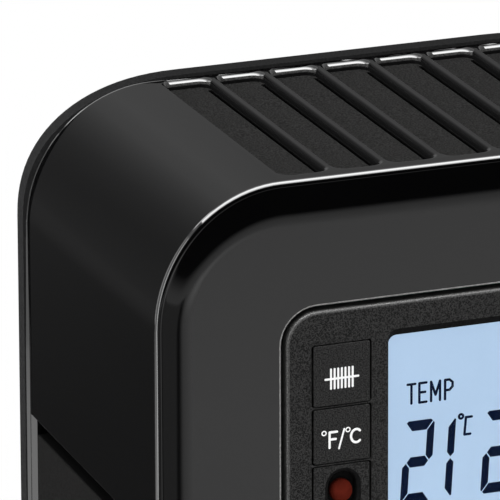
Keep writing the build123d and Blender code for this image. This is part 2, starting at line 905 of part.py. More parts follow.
def foot_clamp(y):
    """U-bolt over the joint of two lower hubs, its legs going down through the foot."""
    low = foot_top - foot_wall - nut_height - clamp_tail
    path = Line((-clamp_bend, y, low), (-clamp_bend, y, lower_hub_z))
    path += ThreePointArc(
        (-clamp_bend, y, lower_hub_z), (0, y, lower_hub_z + clamp_bend), (clamp_bend, y, lower_hub_z)
    )
    path += Line((clamp_bend, y, lower_hub_z), (clamp_bend, y, low))
    section = Plane(origin=(-clamp_bend, y, low)) * Circle(clamp_rod / 2)
    return sweep(section, path=path)


def wing_nut(x, y):
    """Wing nut under the foot's top wall."""
    top = foot_top - foot_wall
    low = top - nut_height
    nut = rod_z(nut_diameter / 2, low, top, x, y)
    wing_low = low - wing_rise
    half_wing = wing_thickness / 2
    wing_x = (x - half_wing, x + half_wing)
    wing_y = (y - wing_span / 2, y + wing_span / 2)
    nut += block(wing_x, wing_y, (wing_low, low + wing_rise / 2))
    clear_y = (y - nut_diameter / 2, y + nut_diameter / 2)
    nut -= block(wing_x, clear_y, (wing_low, low))
    return nut - rod_z(clamp_rod / 2 + thread_play, wing_low, top, x, y)


def wing_nuts():
    """Four wing nuts, two on each foot clamp."""
    places = [(side * clamp_bend, y) for y in (front_foot_y, rear_foot_y) for side in (-1, 1)]
    return Compound(children=[wing_nut(x, y) for x, y in places])


def caster(x, y):
    """Hooded caster body with its web, collar and swivel stem."""
    axle_y = y + caster_trail
    hood = rod_x(hood_radius, x - wheel_outer_x, x + wheel_outer_x, axle_y, axle_z)
    reach = 2 * hood_radius
    hood &= block((x - reach, x + reach), (axle_y - reach, axle_y + reach), (axle_z, axle_z + reach))
    hood += rod_z(collar_diameter / 2, axle_z + hood_radius / 2, caster_height, x, y)
    for side in (-1, 1):
        near, far = sorted((x + side * caster_web / 2, x + side * (wheel_outer_x + hood_gap)))
        hood -= rod_x(hood_inner, near, far, axle_y, axle_z)
    hood += rod_x(axle_boss_diameter / 2, x - caster_web / 2, x + caster_web / 2, axle_y, axle_z)
    hood += rod_z(stem_diameter / 2, caster_height, caster_height + stem_length, x, y)
    return hood - rod_x(axle_diameter / 2, x - caster_web / 2, x + caster_web / 2, axle_y, axle_z)


def caster_axle(x, y):
    """Headed axle through the caster's web."""
    axle_y = y + caster_trail
    head_inner = wheel_outer_x - wheel_dish_depth + axle_head_play
    axle = rod_x(axle_diameter / 2, x - head_inner, x + head_inner, axle_y, axle_z)
    for side in (-1, 1):
        near, far = sorted((x + side * head_inner, x + side * (head_inner + axle_head_length)))
        axle += rod_x(axle_head_diameter / 2, near, far, axle_y, axle_z)
    return axle


def wheel(x, y, side):
    """One of a caster's twin wheels, side -1 left and +1 right."""
    axle_y = y + caster_trail
    near, far = sorted((x + side * wheel_inner_x, x + side * wheel_outer_x))
    tyre = rod_x(wheel_radius, near, far, axle_y, axle_z)
    rims = tyre.edges().filter_by(GeomType.CIRCLE)
    tyre = fillet(rims, wheel_edge)
    tyre -= rod_x(axle_diameter / 2 + turning_play, near, far, axle_y, axle_z)
    dish = sorted((x + side * wheel_outer_x, x + side * (wheel_outer_x - wheel_dish_depth)))
    return tyre - rod_x(wheel_dish_diameter / 2, *dish, axle_y, axle_z)


# Every piece by name

keys = {
    "button_heat": (-1, 0),
    "button_unit": (-1, 1),
    "button_lock": (-1, 3),
    "button_power": (1, 0),
    "button_up": (1, 1),
    "button_down": (1, 2),
    "button_timer": (1, 3),
}

casters = {
    "front_left": (-caster_x, front_foot_y),
    "front_right": (caster_x, front_foot_y),
    "rear_left": (-caster_x, rear_foot_y),
    "rear_right": (caster_x, rear_foot_y),
}

nodes = {
    "front_shell": front_shell(),
    "rear_shell": rear_shell(),
    "side_panel_left": side_inlay(-1),
    "side_panel_right": side_inlay(1),
    "housing_screws": housing_screws(),
    "cord_gland": cord_gland(),
    "control_bezel": control_bezel(),
    "lcd_lens": lcd_lens(),
    "lcd_module": lcd_module(),
    "control_board": control_board(),
    "tact_switches": tact_switches([cell_place(*place) for place in keys.values()]),
    "ir_window": ir_window(),
    "power_board": power_board(),
    "relays": relays(),
    "thermal_cutout": thermal_cutout(),
    "room_sensor": room_sensor(),
    "tip_switch_frame": tip_switch_frame(),
    "tip_pin": tip_pin(),
    "tip_pendulum": tip_pendulum(),
    "heating_element": heating_element(),
    "element_gasket": element_gasket(),
    "tie_bolt": tie_bolt(),
    "filler_plug": filler_plug(),
    "foot_front": foot(front_foot_y),
    "foot_rear": foot(rear_foot_y),
    "foot_clamp_front": foot_clamp(front_foot_y),
    "foot_clamp_rear": foot_clamp(rear_foot_y),
    "wing_nuts": wing_nuts(),
}

for name, place in keys.items():
    nodes[name] = key(*place)

for index in range(fin_count):
    nodes[f"fin_{index + 1}"] = fin(index)

for name, place in casters.items():
    nodes[f"caster_{name}"] = caster(*place)
    nodes[f"caster_axle_{name}"] = caster_axle(*place)
    nodes[f"wheel_{name}_a"] = wheel(*place, -1)
    nodes[f"wheel_{name}_b"] = wheel(*place, 1)

os.makedirs("parts", exist_ok=True)
for name, shape in nodes.items():
    export_step(shape, f"parts/{name}.step")
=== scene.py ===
import json
import math

import bmesh
import bpy
from mathutils import Matrix, Vector


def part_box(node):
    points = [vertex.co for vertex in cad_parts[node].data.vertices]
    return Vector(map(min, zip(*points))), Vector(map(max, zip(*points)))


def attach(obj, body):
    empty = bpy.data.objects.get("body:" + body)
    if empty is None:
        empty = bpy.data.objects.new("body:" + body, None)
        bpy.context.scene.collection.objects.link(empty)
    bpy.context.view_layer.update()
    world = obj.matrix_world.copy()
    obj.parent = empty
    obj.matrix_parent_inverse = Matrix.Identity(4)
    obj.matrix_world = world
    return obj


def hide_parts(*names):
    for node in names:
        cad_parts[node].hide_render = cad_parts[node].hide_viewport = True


bl_info = {
    "name": "Oil filled radiator heater",
    "version": (1, 0, 0),
    "blender": (4, 5, 0),
    "location": "3D View > Sidebar > Heater",
    "description": "Moulded housing, lit control panel, pressed fins, feet and casters of a radiator heater",
    "category": "Add Mesh",
}

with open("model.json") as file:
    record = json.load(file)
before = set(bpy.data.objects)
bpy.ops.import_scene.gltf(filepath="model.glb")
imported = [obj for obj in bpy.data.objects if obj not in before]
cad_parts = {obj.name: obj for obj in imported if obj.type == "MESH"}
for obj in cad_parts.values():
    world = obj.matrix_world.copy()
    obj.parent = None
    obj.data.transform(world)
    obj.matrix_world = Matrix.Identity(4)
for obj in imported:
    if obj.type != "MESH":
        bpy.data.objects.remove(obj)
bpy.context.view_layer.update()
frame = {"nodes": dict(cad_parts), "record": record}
MM = 0.001
ROOT = "heater"

# Places read from the frame, in metres
shell_low, shell_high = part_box("front_shell")
band_low, band_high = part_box("rear_shell")
bezel_low, bezel_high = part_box("control_bezel")
lens_low, lens_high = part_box("lcd_lens")
fin_low, fin_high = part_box("fin_1")
seam_y = shell_high.y
face_y = shell_low.y
back_y = band_high.y
bezel_y = bezel_low.y
housing_z = (shell_low.z + shell_high.z) / 2
panel_z = (bezel_low.z + bezel_high.z) / 2
fin_half_width = fin_high.x
fin_half_height = (fin_high.z - fin_low.z) / 2
fin_half_pitch = (fin_high.y - fin_low.y) / 2

# Finishes by name, filled by the first operator
finishes = {}


def box_middle(node):
    """Middle of a node's box."""
    low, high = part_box(node)
    return (low + high) / 2


# Properties that a user would change


def length(name, description, millimetres):
    """Length property, written in millimetres and kept in metres."""
    return bpy.props.FloatProperty(
        name=name, description=description, default=millimetres * MM, unit="LENGTH", precision=5
    )


def colour(name, description, value):
    """Colour property, linear."""
    return bpy.props.FloatVectorProperty(
        name=name, description=description, default=value, size=3, min=0.0, max=1.0, subtype="COLOR"
    )


def factor(name, description, value):
    """Plain number."""
    return bpy.props.FloatProperty(name=name, description=description, default=value)


def whole_number(name, description, value):
    """Number of like things."""
    return bpy.props.IntProperty(name=name, description=description, default=value)


def rotation(name, description, degrees):
    """Angle property, written in degrees."""
    return bpy.props.FloatProperty(
        name=name, description=description, default=math.radians(degrees), unit="ROTATION"
    )


class HousingProps(bpy.types.PropertyGroup):
    """Sizes of the moulded control housing."""

    corner_across: length("Corner across", "Reach of a corner along the top of the front shell", 30.5)
    corner_front: length("Corner front", "Reach of a corner down the sides at the rim", 32.0)
    corner_rear: length("Corner rear", "Reach of a corner down the sides at the seam", 31.2)
    band_across: length("Band across", "Reach of a corner along the top of the rear band", 40.0)
    fullness: factor("Fullness", "Exponent of the band's corners, 2 for an ellipse", 2.26)
    wall: length("Wall", "Thickness of the moulded walls", 2.4)
    skin: length("Skin", "Thickness given to the front shell's skin", 1.6)
    side_draft: length("Side draft", "How much each side leans in from the seam to the rim", 0.7)
    top_draft: length("Top draft", "How much the top leans in from the seam to the rim", 1.8)
    bevel_rise: length("Bevel rise", "How far the face stands in front of the rim", 1.4)
    bevel_side: length("Bevel at the sides", "Width of the sloping border at the sides", 8.2)
    bevel_top: length("Bevel at the top", "Width of the sloping border at the top", 11.0)
    lip_radius: length("Lip radius", "Rounding of the rim", 1.3)
    lip_land: length("Lip land", "Flat strip between the rim and the border", 0.1)
    seam_back: length("Seam at the sides", "How far the seam lies back at the sides", 1.9)
    seam_top: length("Seam at the top", "How far the seam lies back at the top", 0.9)
    rear_edge: length("Rear edge", "Rounding of the front shell at the seam", 0.15)
    flare: length("Flare", "How far the front shell's sides turn out at the seam", 0.6)
    flare_length: length("Flare length", "Depth of the turned-out edge", 0.9)
    flare_run: length("Flare run", "Length of side below each corner over which the flare grows", 31.0)
    seam_gap: length("Seam gap", "Dark gap between the two shells", 0.06)
    band_edge: length("Band edge", "Rounding of the rear band at the back", 1.6)
    # The trim line is coloured light grey as a painted highlight on the opening's rounded edge
    trim_line: length("Trim line", "Rounding of the satin edge round the panel opening", 0.5)
    bezel_groove: length("Bezel groove", "Gap between the face and the bezel", 1.15)


class VentProps(bpy.types.PropertyGroup):
    """Vent pockets in the top, windows in the sides and slots in the underside."""

    count: whole_number("Pockets", "Number of vent pockets", 7)
    pitch: length("Pitch", "Distance from one pocket to the next", 13.3)
    width: length("Width", "Width of a pocket", 11.5)
    shift: length("Shift", "How far the pockets stand to the right of the middle", 0.15)
    margin: length("Margin", "Distance from the seam to a pocket's rounded edge", 0.65)
    front: length("Front", "Distance from the rim to the pockets", 5.0)
    depth: length("Depth", "Depth of a pocket", 2.1)
    corner: length("Corner", "Corner radius of a pocket", 2.6)
    edge: length("Edge", "Rounding of a pocket's upper edge", 1.3)
    edge_left: length("Left edge", "Rounding of a pocket's left edge", 0.3)
    slit: length("Slit", "Width of the air slit beside a pocket's wall", 1.0)
    slit_end: length("Slit end", "Distance from a pocket's end to its slit", 3.0)
    window_front: length("Window front", "Distance from the rim to the side window", 10.0)
    window_rear: length("Window rear", "Wall behind the side window", 1.25)
    window_slant: length("Window slant", "Length of the sloping part of the window's rear wall", 1.4)
    pad_depth: length("Pad depth", "Depth of the grained pad in a side window", 1.05)
    pad_gap: length("Pad gap", "Dark gap between the pad and the window's edge", 2.0)
    pad_drop: length("Pad drop", "Dark gap above the pad", 4.8)
    window_drop: length("Window drop", "Distance from the rim's top to the window", 75.8)
    window_lift: length("Window lift", "Distance from the rim's foot to the window", 80.0)
    window_slope: factor("Window slope", "Rise of the window's top edge over its length", 0.0734)
    window_edge: length("Window edge", "Rounding of the side window's edge", 0.1)


class PanelProps(bpy.types.PropertyGroup):
    """Control panel, display and keys."""

    flange: length("Flange", "Width of the bezel's hidden flange", 4.0)
    radius: length("Bezel radius", "Corner radius of the bezel", 7.5)
    edge: length("Bezel edge", "Rounding of the bezel's outer edge", 0.7)
    thickness: length("Bezel thickness", "Depth of the bezel's plate", 3.8)
    trim: length("Bezel trim", "How much smaller the bezel looks than its frame", 1.15)
    rows: bpy.props.FloatVectorProperty(
        name="Rows",
        description="Edges of the four rows of keys, counted up from the panel's middle",
        default=[edge * MM for edge in (29.4, 14.2, 0.5, -13.9, -28.4)],
        size=5,
        unit="LENGTH",
        precision=5,
    )
    column_shift: length("Column shift", "How far the key columns stand out from their frame", 0.45)
    web: length("Web", "Thin strip of the bezel between two keys", 0.35)
    side_gap: length("Side gap", "Gap at the left and right of a key", 0.52)
    gap: length("Gap", "Gap above and below a key", 0.28)
    key_width: length("Key width", "Width of a key's face", 13.65)
    key_corner: length("Key corner", "Corner radius of a key", 0.4)
    key_edge: length("Key edge", "Rounding of a key's edge", 0.05)
    lcd_brow: length("Display brow", "Height of the sloping wall above the display", 1.7)
    lens_lip: length("Lens lip", "Part of the lens behind the bezel", 1.6)
    lcd_widen: length("Display widening", "How much wider the display looks than its frame", 0.32)
    lcd_corner: length("Display corner", "Corner radius of the display's opening", 2.0)
    print_rise: length("Print", "Thickness of the printed signs", 0.03)
    slant: factor("Slant", "Lean of the display's digits", 0.063)


class RadiatorProps(bpy.types.PropertyGroup):
    """Pressed fins and their hubs."""

    corner: length("Fin corner", "Corner radius of a fin", 42.0)
    sheet: length("Sheet", "Thickness of a fin at its edge", 2.0)
    channel_rise: length("Channel rise", "Height of an oil channel on each face", 4.2)
    channel_width: length("Channel width", "Width of an oil channel at its foot", 24.0)
    channel_flank: length("Channel flank", "Width of the slope beside a channel", 4.6)
    channel_spacing: length("Channel spacing", "Distance from one channel to the next", 40.0)
    channel_margin: length("Channel margin", "Distance from a fin's end to its channels", 40.0)
    hub_rise: length("Hub rise", "Distance from a fin's end to its hub", 46.0)
    hub_foot: length("Hub foot", "Radius where a hub starts to rise", 37.5)
    hub_neck: length("Hub neck", "Radius of a hub's neck", 24.0)
    neck_length: length("Neck length", "Length of a hub's neck", 8.0)
    grid: length("Grid", "Distance between the points of a fin's mesh", 2.0)


class BaseProps(bpy.types.PropertyGroup):
    """Feet, casters and wheels."""

    foot_wall: length("Foot wall", "Thickness of a foot's walls", 3.0)
    foot_edge: length("Foot edge", "Rounding of a foot's upper edges", 3.2)
    foot_end: length("Foot end", "Corner radius of a foot seen from above", 20.0)
    foot_flat: length("Foot flat", "Length of a foot's level top", 124.0)
    foot_drop: length("Foot drop", "Fall of a foot's top to its ends", 8.0)
    socket: length("Socket", "Radius of a caster's collar and socket", 8.0)
    trail: length("Trail", "Distance from a caster's swivel to its axle", 15.0)
    hood_radius: length("Hood radius", "Outer radius of a caster's hood", 22.8)
    hood_wall: length("Hood wall", "Thickness of a caster's hood", 2.4)
    hood_half: length("Hood half width", "Half width of a caster's hood", 13.4)
    web: length("Web", "Thickness of the web between two wheels", 8.0)
    wheel_radius: length("Wheel radius", "Radius of a wheel's tread", 19.0)
    wheel_width: length("Wheel width", "Width of a wheel", 9.0)
    wheel_edge: length("Wheel edge", "Rounding of a wheel's tread", 1.6)
    wheel_ribs: whole_number("Wheel ribs", "Ribs on a wheel's face", 6)


class ColourProps(bpy.types.PropertyGroup):
    """Colours of the finishes."""

    gloss: colour("Gloss black", "Front shell", (0.0012, 0.0012, 0.0013))
    satin: colour("Satin black", "Rear band and mouldings", (0.012, 0.012, 0.0125))
    band: colour("Band black", "Rear band and recesses", (0.019, 0.019, 0.0193))
    grain: colour("Grained black", "Bezel and keys", (0.016, 0.0159, 0.0157))
    lit: colour("Lit blue", "Display", (0.434, 0.592, 0.795))
    segment: colour("Navy", "Display segments", (0.0004, 0.004, 0.019))
    sign: colour("Sign white", "Printed signs", (0.86, 0.86, 0.86))
    dome: colour("Dome red", "Receiver dome", (0.07, 0.0095, 0.0055))
    paint: colour("Fin paint", "Powder coat on the fins", (0.017, 0.017, 0.018))
    nylon: colour("Nylon", "Casters and wheels", (0.028, 0.028, 0.029))
    zinc: colour("Zinc", "Plated fixings", (0.52, 0.53, 0.55))


class StageProps(bpy.types.PropertyGroup):
    """Camera, lamps and studio cards."""

    azimuth: rotation("Azimuth", "Camera's turn from the front", -21.64)
    elevation: rotation("Elevation", "Camera's height angle", 17.39)
    roll: rotation("Roll", "Camera's turn about its own axis", -0.23)
    distance: length("Distance", "From the camera to the point that it looks at", 1697.6)
    across: length("Across", "Point looked at, right of the rim's top left corner", 21.2)
    down: length("Down", "Point looked at, below the rim's top left corner", 11.7)
    lens: factor("Lens", "Focal length on a 36 mm sensor", 550.0)
    reach: length("Reach", "Depth of the main view, which holds the housing alone", 1820.0)
    ambient: factor("Ambient", "World light on the object", 0.55)
    key: factor("Key lamp", "Power of the key lamp in watts", 55.0)


# Mesh building


def arc(steps, first=0.0, last=90.0):
    """Angles in radians, evenly spaced and with both ends."""
    return [math.radians(first + (last - first) * step / steps) for step in range(steps + 1)]


def rectangle(middle, half):
    """Corners of a rectangle."""
    (u, v), (a, b) = middle, half
    return [(u + a, v + b), (u - a, v + b), (u - a, v - b), (u + a, v - b)]


def rounded_polygon(corners, radius, inset=0.0, steps=8):
    """Points round a convex polygon with rounded corners, moved inwards by the inset."""
    points = []
    least = 0.001 * MM
    reach = max(radius - inset, least)
    for index, corner in enumerate(corners):
        here = Vector(corner)
        before = (Vector(corners[index - 1]) - here).normalized()
        after = (Vector(corners[(index + 1) % len(corners)]) - here).normalized()
        bend = math.acos(max(-1.0, min(1.0, before.dot(after))))
        middle = here + (before + after) / math.sin(bend) * (inset + reach)
        start = middle + (before * math.cos(bend) - after).normalized() * reach
        turn = math.pi - bend
        side = 1 if before.cross(after) < 0 else -1
        spoke = start - middle
        for step in range(steps + 1):
            points.append(tuple(middle + Matrix.Rotation(side * turn * step / steps, 2) @ spoke))
    return points


def circle(u, v, radius, steps=40):
    """Points round a circle."""
    angles = [math.tau * step / steps for step in range(steps)]
    return [(u + radius * math.cos(angle), v + radius * math.sin(angle)) for angle in angles]


def quarter_round(radius, steps):
    """(from the side, from the end) pairs round an edge, from its side to its end."""
    return [(radius * (1 - math.cos(angle)), radius * (1 - math.sin(angle))) for angle in arc(steps)]


def edge_levels(edge, depth, steps=5):
    """(inset, depth) pairs of a wall that turns down from a surface over a rounded edge."""
    levels = [(edge * (math.sin(angle) - 1), edge * (1 - math.cos(angle))) for angle in arc(steps)]
    return levels + [(0.0, depth)]


def rim_levels(edge, depth, steps=6):
    """(inset, depth) pairs of an outer wall that turns on to a face over a rounded edge."""
    return [(0.0, depth)] + quarter_round(edge, steps)


def back_from(front_y):
    """Place function of an upright front: across, up and back from it."""
    return lambda x, z, depth: (x, front_y + depth, z)


class Skin:
    """Mesh in the making: rings joined by strips, and flat stretches with holes."""

    def __init__(self):
        self.bm = bmesh.new()

    def ring(self, points):
        return [self.bm.verts.new(point) for point in points]

    def strip(self, first, second, finish=0, gaps=()):
        count = len(first)
        for index in range(count):
            if index in gaps:
                continue
            after = (index + 1) % count
            face = self.bm.faces.new((first[index], first[after], second[after], second[index]))
            face.material_index = finish

    def stack(self, rings, finish=0):
        for first, second in zip(rings, rings[1:]):
            self.strip(first, second, finish)
        return rings

    def flat(self, loops, finish=0):
        edges = []
        for loop in loops:
            for first, second in zip(loop, loop[1:] + loop[:1]):
                edges.append(self.bm.edges.get((first, second)) or self.bm.edges.new((first, second)))
        made = bmesh.ops.triangle_fill(self.bm, use_beauty=True, use_dissolve=False, edges=edges)
        for item in made["geom"]:
            if isinstance(item, bmesh.types.BMFace):
                item.material_index = finish

    def cap(self, *rings, finish=0):
        """One face over each ring."""
        for ring in rings:
            self.bm.faces.new(ring).material_index = finish

    def recess(self, place, corners, radius, levels, finish=0):
        """Stack of rounded outlines going in from a surface; place(u, v, depth) gives a point."""
        rings = []
        for inset, depth in levels:
            outline = rounded_polygon(corners, radius, inset)
            rings.append(self.ring([place(u, v, depth) for u, v in outline]))
        return self.stack(rings, finish)

    def lathe(self, profile, place, closed=False, steps=64):
        """Turned form from (radius, height) pairs; place(u, v, height) gives a point."""
        rings = []
        for radius, height in profile:
            rings.append(self.ring([place(u, v, height) for u, v in circle(0.0, 0.0, radius, steps)]))
        if closed:
            self.stack(rings + rings[:1])
        else:
            self.stack(rings)
            self.cap(rings[0], rings[-1])

    def face_away(self, inside):
        """Turns an open skin so that it faces away from a point inside it."""
        bmesh.ops.recalc_face_normals(self.bm, faces=self.bm.faces)
        facing = sum(f.normal.dot(f.calc_center_median() - inside) * f.calc_area() for f in self.bm.faces)
        if facing < 0:
            bmesh.ops.reverse_faces(self.bm, faces=self.bm.faces)

    def close(self):
        """Faces a closed skin outwards."""
        bmesh.ops.recalc_face_normals(self.bm, faces=self.bm.faces)

    def mesh(self, name, sharp=40):
        data = bpy.data.meshes.new(name)
        self.bm.normal_update()
        self.bm.to_mesh(data)
        self.bm.free()
        data.polygons.foreach_set("use_smooth", [True] * len(data.polygons))
        data.set_sharp_from_angle(angle=math.radians(sharp))
        return data


def new_object(name, data):
    """Object in the scene's own collection."""
    made = bpy.data.objects.new(name, data)
    bpy.context.scene.collection.objects.link(made)
    return made


def weigh_normals(piece):
    """Shading that follows a piece's large faces."""
    normals = piece.modifiers.new("Normals", "WEIGHTED_NORMAL")
    normals.keep_sharp = True


def add_piece(name, data, finish_names, slot, body=ROOT, stands_for=(), place=None, weighted=True):
    """Object from a mesh, with its finishes, its CAD body and the nodes that it stands for."""
    piece = new_object(name, data)
    if place is not None:
        piece.location = place
    for finish in finish_names:
        if finish not in data.materials:
            data.materials.append(finishes[finish])
    if weighted:
        weigh_normals(piece)
    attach(piece, body)
    if stands_for:
        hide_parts(*stands_for)
    return piece


# Finishes


class Finish:
    """Procedural material on a Principled shader, its textures in object space."""

    def __init__(self, name, base, roughness, metallic=0.0, ior=1.5):
        self.material = bpy.data.materials.new(name)
        self.material.use_nodes = True
        self.tree = self.material.node_tree
        self.shader = self.tree.nodes["Principled BSDF"]
        self.shader.inputs["Base Color"].default_value = (*base, 1.0)
        self.shader.inputs["Roughness"].default_value = roughness
        self.shader.inputs["Metallic"].default_value = metallic
        self.shader.inputs["IOR"].default_value = ior
        self.base = base
        self.place = self.tree.nodes.new("ShaderNodeTexCoord")

    def link(self, output, target):
        self.tree.links.new(output, target)

    def noise(self, size, detail=2.0):
        """Noise with features of about that size in metres."""
        node = self.tree.nodes.new("ShaderNodeTexNoise")
        node.inputs["Scale"].default_value = 1.0 / size
        node.inputs["Detail"].default_value = detail
        self.link(self.place.outputs["Object"], node.inputs["Vector"])
        return node.outputs["Fac"]

    def shade(self, value, low, high, start=0.3, end=0.7):
        """Base colour made darker and lighter by the value."""
        ramp = self.tree.nodes.new("ShaderNodeValToRGB")
        for element, position, level in zip(ramp.color_ramp.elements, (start, end), (low, high)):
            element.position = position
            element.color = (*[channel * level for channel in self.base], 1.0)
        self.link(value, ramp.inputs["Fac"])
        self.link(ramp.outputs["Color"], self.shader.inputs["Base Color"])

    def rough(self, value, low, high):
        """Roughness between two levels, by the value."""
        node = self.tree.nodes.new("ShaderNodeMapRange")
        for socket, number in (("From Min", 0.3), ("From Max", 0.7), ("To Min", low), ("To Max", high)):
            node.inputs[socket].default_value = number
        self.link(value, node.inputs["Value"])
        self.link(node.outputs["Result"], self.shader.inputs["Roughness"])

    def bump(self, value, height):
        """Relief of the given height in metres; ends a finish."""
        node = self.tree.nodes.new("ShaderNodeBump")
        node.inputs["Distance"].default_value = height
        self.link(value, node.inputs["Height"])
        self.link(node.outputs["Normal"], self.shader.inputs["Normal"])
        return self


def scaled(base, share):
    """Lighter or darker colour."""
    return [min(1.0, channel * share) for channel in base[:3]]


def moulded(name, base, roughness, grain, height, spread=0.25, gloss=0.5):
    """Moulded plastic with a fine grain."""
    finish = Finish(name, base, roughness)
    finish.shader.inputs["Specular IOR Level"].default_value = gloss
    speckle = finish.noise(grain)
    cloud = finish.noise(40 * grain)
    finish.shade(speckle, 1 - spread, 1 + spread, 0.4, 0.6)
    finish.rough(cloud, roughness * 0.92, roughness * 1.08)
    return finish.bump(speckle, height).material


def gloss_plastic(colours):
    """Piano black moulding: nearly a mirror, with a trace of flow in it."""
    finish = Finish("gloss_black", colours.gloss, 0.06)
    flow = finish.noise(30 * MM)
    finish.shade(flow, 0.9, 1.1)
    finish.rough(finish.noise(9 * MM, 3.0), 0.045, 0.075)
    return finish.bump(finish.noise(22 * MM, 1.0), 0.004 * MM).material


def plated(name, base, roughness):
    """Plated metal with a faint spangle."""
    grain = 0.6 * MM
    finish = Finish(name, base, roughness, metallic=1.0)
    finish.shade(finish.noise(6 * MM, 3.0), 0.86, 1.1)
    spangle = finish.noise(grain)
    finish.rough(spangle, roughness * 0.8, roughness * 1.25)
    return finish.bump(spangle, 0.01 * MM).material


def powder_coat(colours):
    """Powder coat on pressed steel, with its orange peel."""
    finish = Finish("fin_paint", colours.paint, 0.34)
    peel = finish.noise(1.6 * MM)
    finish.shade(finish.noise(60 * MM, 3.0), 0.85, 1.15)
    finish.rough(finish.noise(14 * MM, 3.0), 0.3, 0.4)
    return finish.bump(peel, 0.045 * MM).material


def lit_display(colours):
    """Backlit display, a little uneven as its light guide is."""
    finish = Finish("lcd_blue", [channel * 0.1 for channel in colours.lit], 0.4)
    finish.shader.inputs["Specular IOR Level"].default_value = 0.1
    finish.shade(finish.noise(0.5 * MM), 0.95, 1.05)
    ramp = finish.tree.nodes.new("ShaderNodeValToRGB")
    for element, level in zip(ramp.color_ramp.elements, (0.84, 0.92)):
        element.color = (*[channel * level for channel in colours.lit], 1.0)
    finish.link(finish.noise(24 * MM, 1.0), ramp.inputs["Fac"])
    finish.link(ramp.outputs["Color"], finish.shader.inputs["Emission Color"])
    finish.shader.inputs["Emission Strength"].default_value = 1.0
    return finish.material


def clear_lens():
    """Clear acrylic with a hard coat."""
    finish = Finish("clear", (1.0, 1.0, 1.0), 0.02, ior=1.06)
    finish.shader.inputs["Transmission Weight"].default_value = 1.0
    return finish.bump(finish.noise(30 * MM, 1.0), 0.001 * MM).material


def dome_plastic(colours):
    """Dark red transparent plastic, seen as a glossy tint."""
    finish = Finish("ir_red", colours.dome, 0.6)
    finish.shader.inputs["Specular IOR Level"].default_value = 0.0
    finish.shade(finish.noise(3 * MM), 0.8, 1.2)
    return finish.bump(finish.noise(0.4 * MM), 0.004 * MM).material


def printed(name, base, gloss=0.5):
    """Ink with a slightly uneven face."""
    finish = Finish(name, base, 0.55)
    finish.shader.inputs["Specular IOR Level"].default_value = gloss
    finish.shade(finish.noise(0.35 * MM), 0.96, 1.04)
    return finish.bump(finish.noise(0.2 * MM), 0.002 * MM).material


def make_finishes(colours):
    """Every finish by its slot, and the inks."""
    # Colour, roughness, size and height of the grain in millimetres, and where set its spread and gloss
    mouldings = {
        "satin_black": (colours.satin, 0.42, 0.35, 0.01),
        "band_black": (colours.band, 0.45, 0.5, 0.004, 0.2, 0.0),
        # Darker copy of the band black: painted shade in pockets, slits, gaps, wells and on the display's
        # brow
        "recess_black": (scaled(colours.band, 0.3), 0.5, 0.5, 0.004, 0.2, 0.02),
        # Lighter copy of the grain: painted light on the pockets' rear walls, which face forward and up
        "pocket_wall_painted_light": (scaled(colours.grain, 3.2), 0.6, 0.4, 0.04, 0.35, 0.0),
        "grain_black": (colours.grain, 0.55, 0.32, 0.05, 0.8, 0.12),
        # Lighter copy of the grain: painted sheen on the bezel's rounded outer edge
        "grain_edge_painted_sheen": (scaled(colours.grain, 2.4), 0.5, 0.32, 0.05, 0.5, 0.3),
        "pocket_grain": (scaled(colours.grain, 1.5), 0.6, 0.4, 0.04, 0.35, 0.0),
        "pad_grain": (scaled(colours.grain, 0.66), 0.6, 0.4, 0.04, 0.2, 0.0),
        # Light grey: painted highlight on the rounded edge of the panel opening
        "trim_painted_highlight": (scaled(colours.grain, 14.0), 0.4, 0.5, 0.01, 0.2, 0.2),
        "foot_plastic": (colours.satin, 0.46, 0.4, 0.02),
        "caster_plastic": (colours.nylon, 0.4, 0.4, 0.012),
        "wheel_plastic": (colours.nylon, 0.52, 0.5, 0.03),
        "gasket_rubber": ((0.018, 0.018, 0.018), 0.7, 0.5, 0.02),
        "board_green": ((0.012, 0.09, 0.035), 0.35, 1.2, 0.02, 0.4),
        "component": ((0.03, 0.035, 0.045), 0.45, 0.6, 0.02),
    }
    made = {}
    for name, (base, roughness, grain, height, *more) in mouldings.items():
        made[name] = moulded(name, base, roughness, grain * MM, height * MM, *more)
    metals = {
        "zinc": (colours.zinc, 0.32),
        "element_steel": ((0.42, 0.41, 0.4), 0.38),
        "brass": ((0.68, 0.47, 0.2), 0.3),
    }
    for name, (base, roughness) in metals.items():
        made[name] = plated(name, base, roughness)
    return {
        **made,
        "gloss_black": gloss_plastic(colours),
        "lcd_blue": lit_display(colours),
        "clear": clear_lens(),
        "ir_red": dome_plastic(colours),
        "fin_paint": powder_coat(colours),
        "segment": printed("segment", colours.segment, 0.03),
        "sign": printed("sign", colours.sign),
    }


# Control housing

# The front shell's finishes in their order, and their places in it: the recess finish is painted shade, the
# trim finish a painted highlight and the pocket wall finish painted light
shell_finishes = ("gloss_black", "pocket_grain", "recess_black", "trim_painted_highlight", "pocket_wall_painted_light")
GLOSS, POCKET_FLOOR, RECESS_SHADE, TRIM_HIGHLIGHT, LIT_POCKET_WALL = range(len(shell_finishes))


def rim_depth(sizes):
    """Depth of the rim, behind the face by the border's rise."""
    return face_y + sizes.bevel_rise


def section(sizes, y):
    """Half width and half height of the front shell at one depth."""
    lean = (seam_y - y) / (seam_y - rim_depth(sizes))
    half_width = shell_high.x - sizes.side_draft * lean
    half_height = shell_high.z - housing_z - sizes.top_draft * lean
    return half_width, half_height


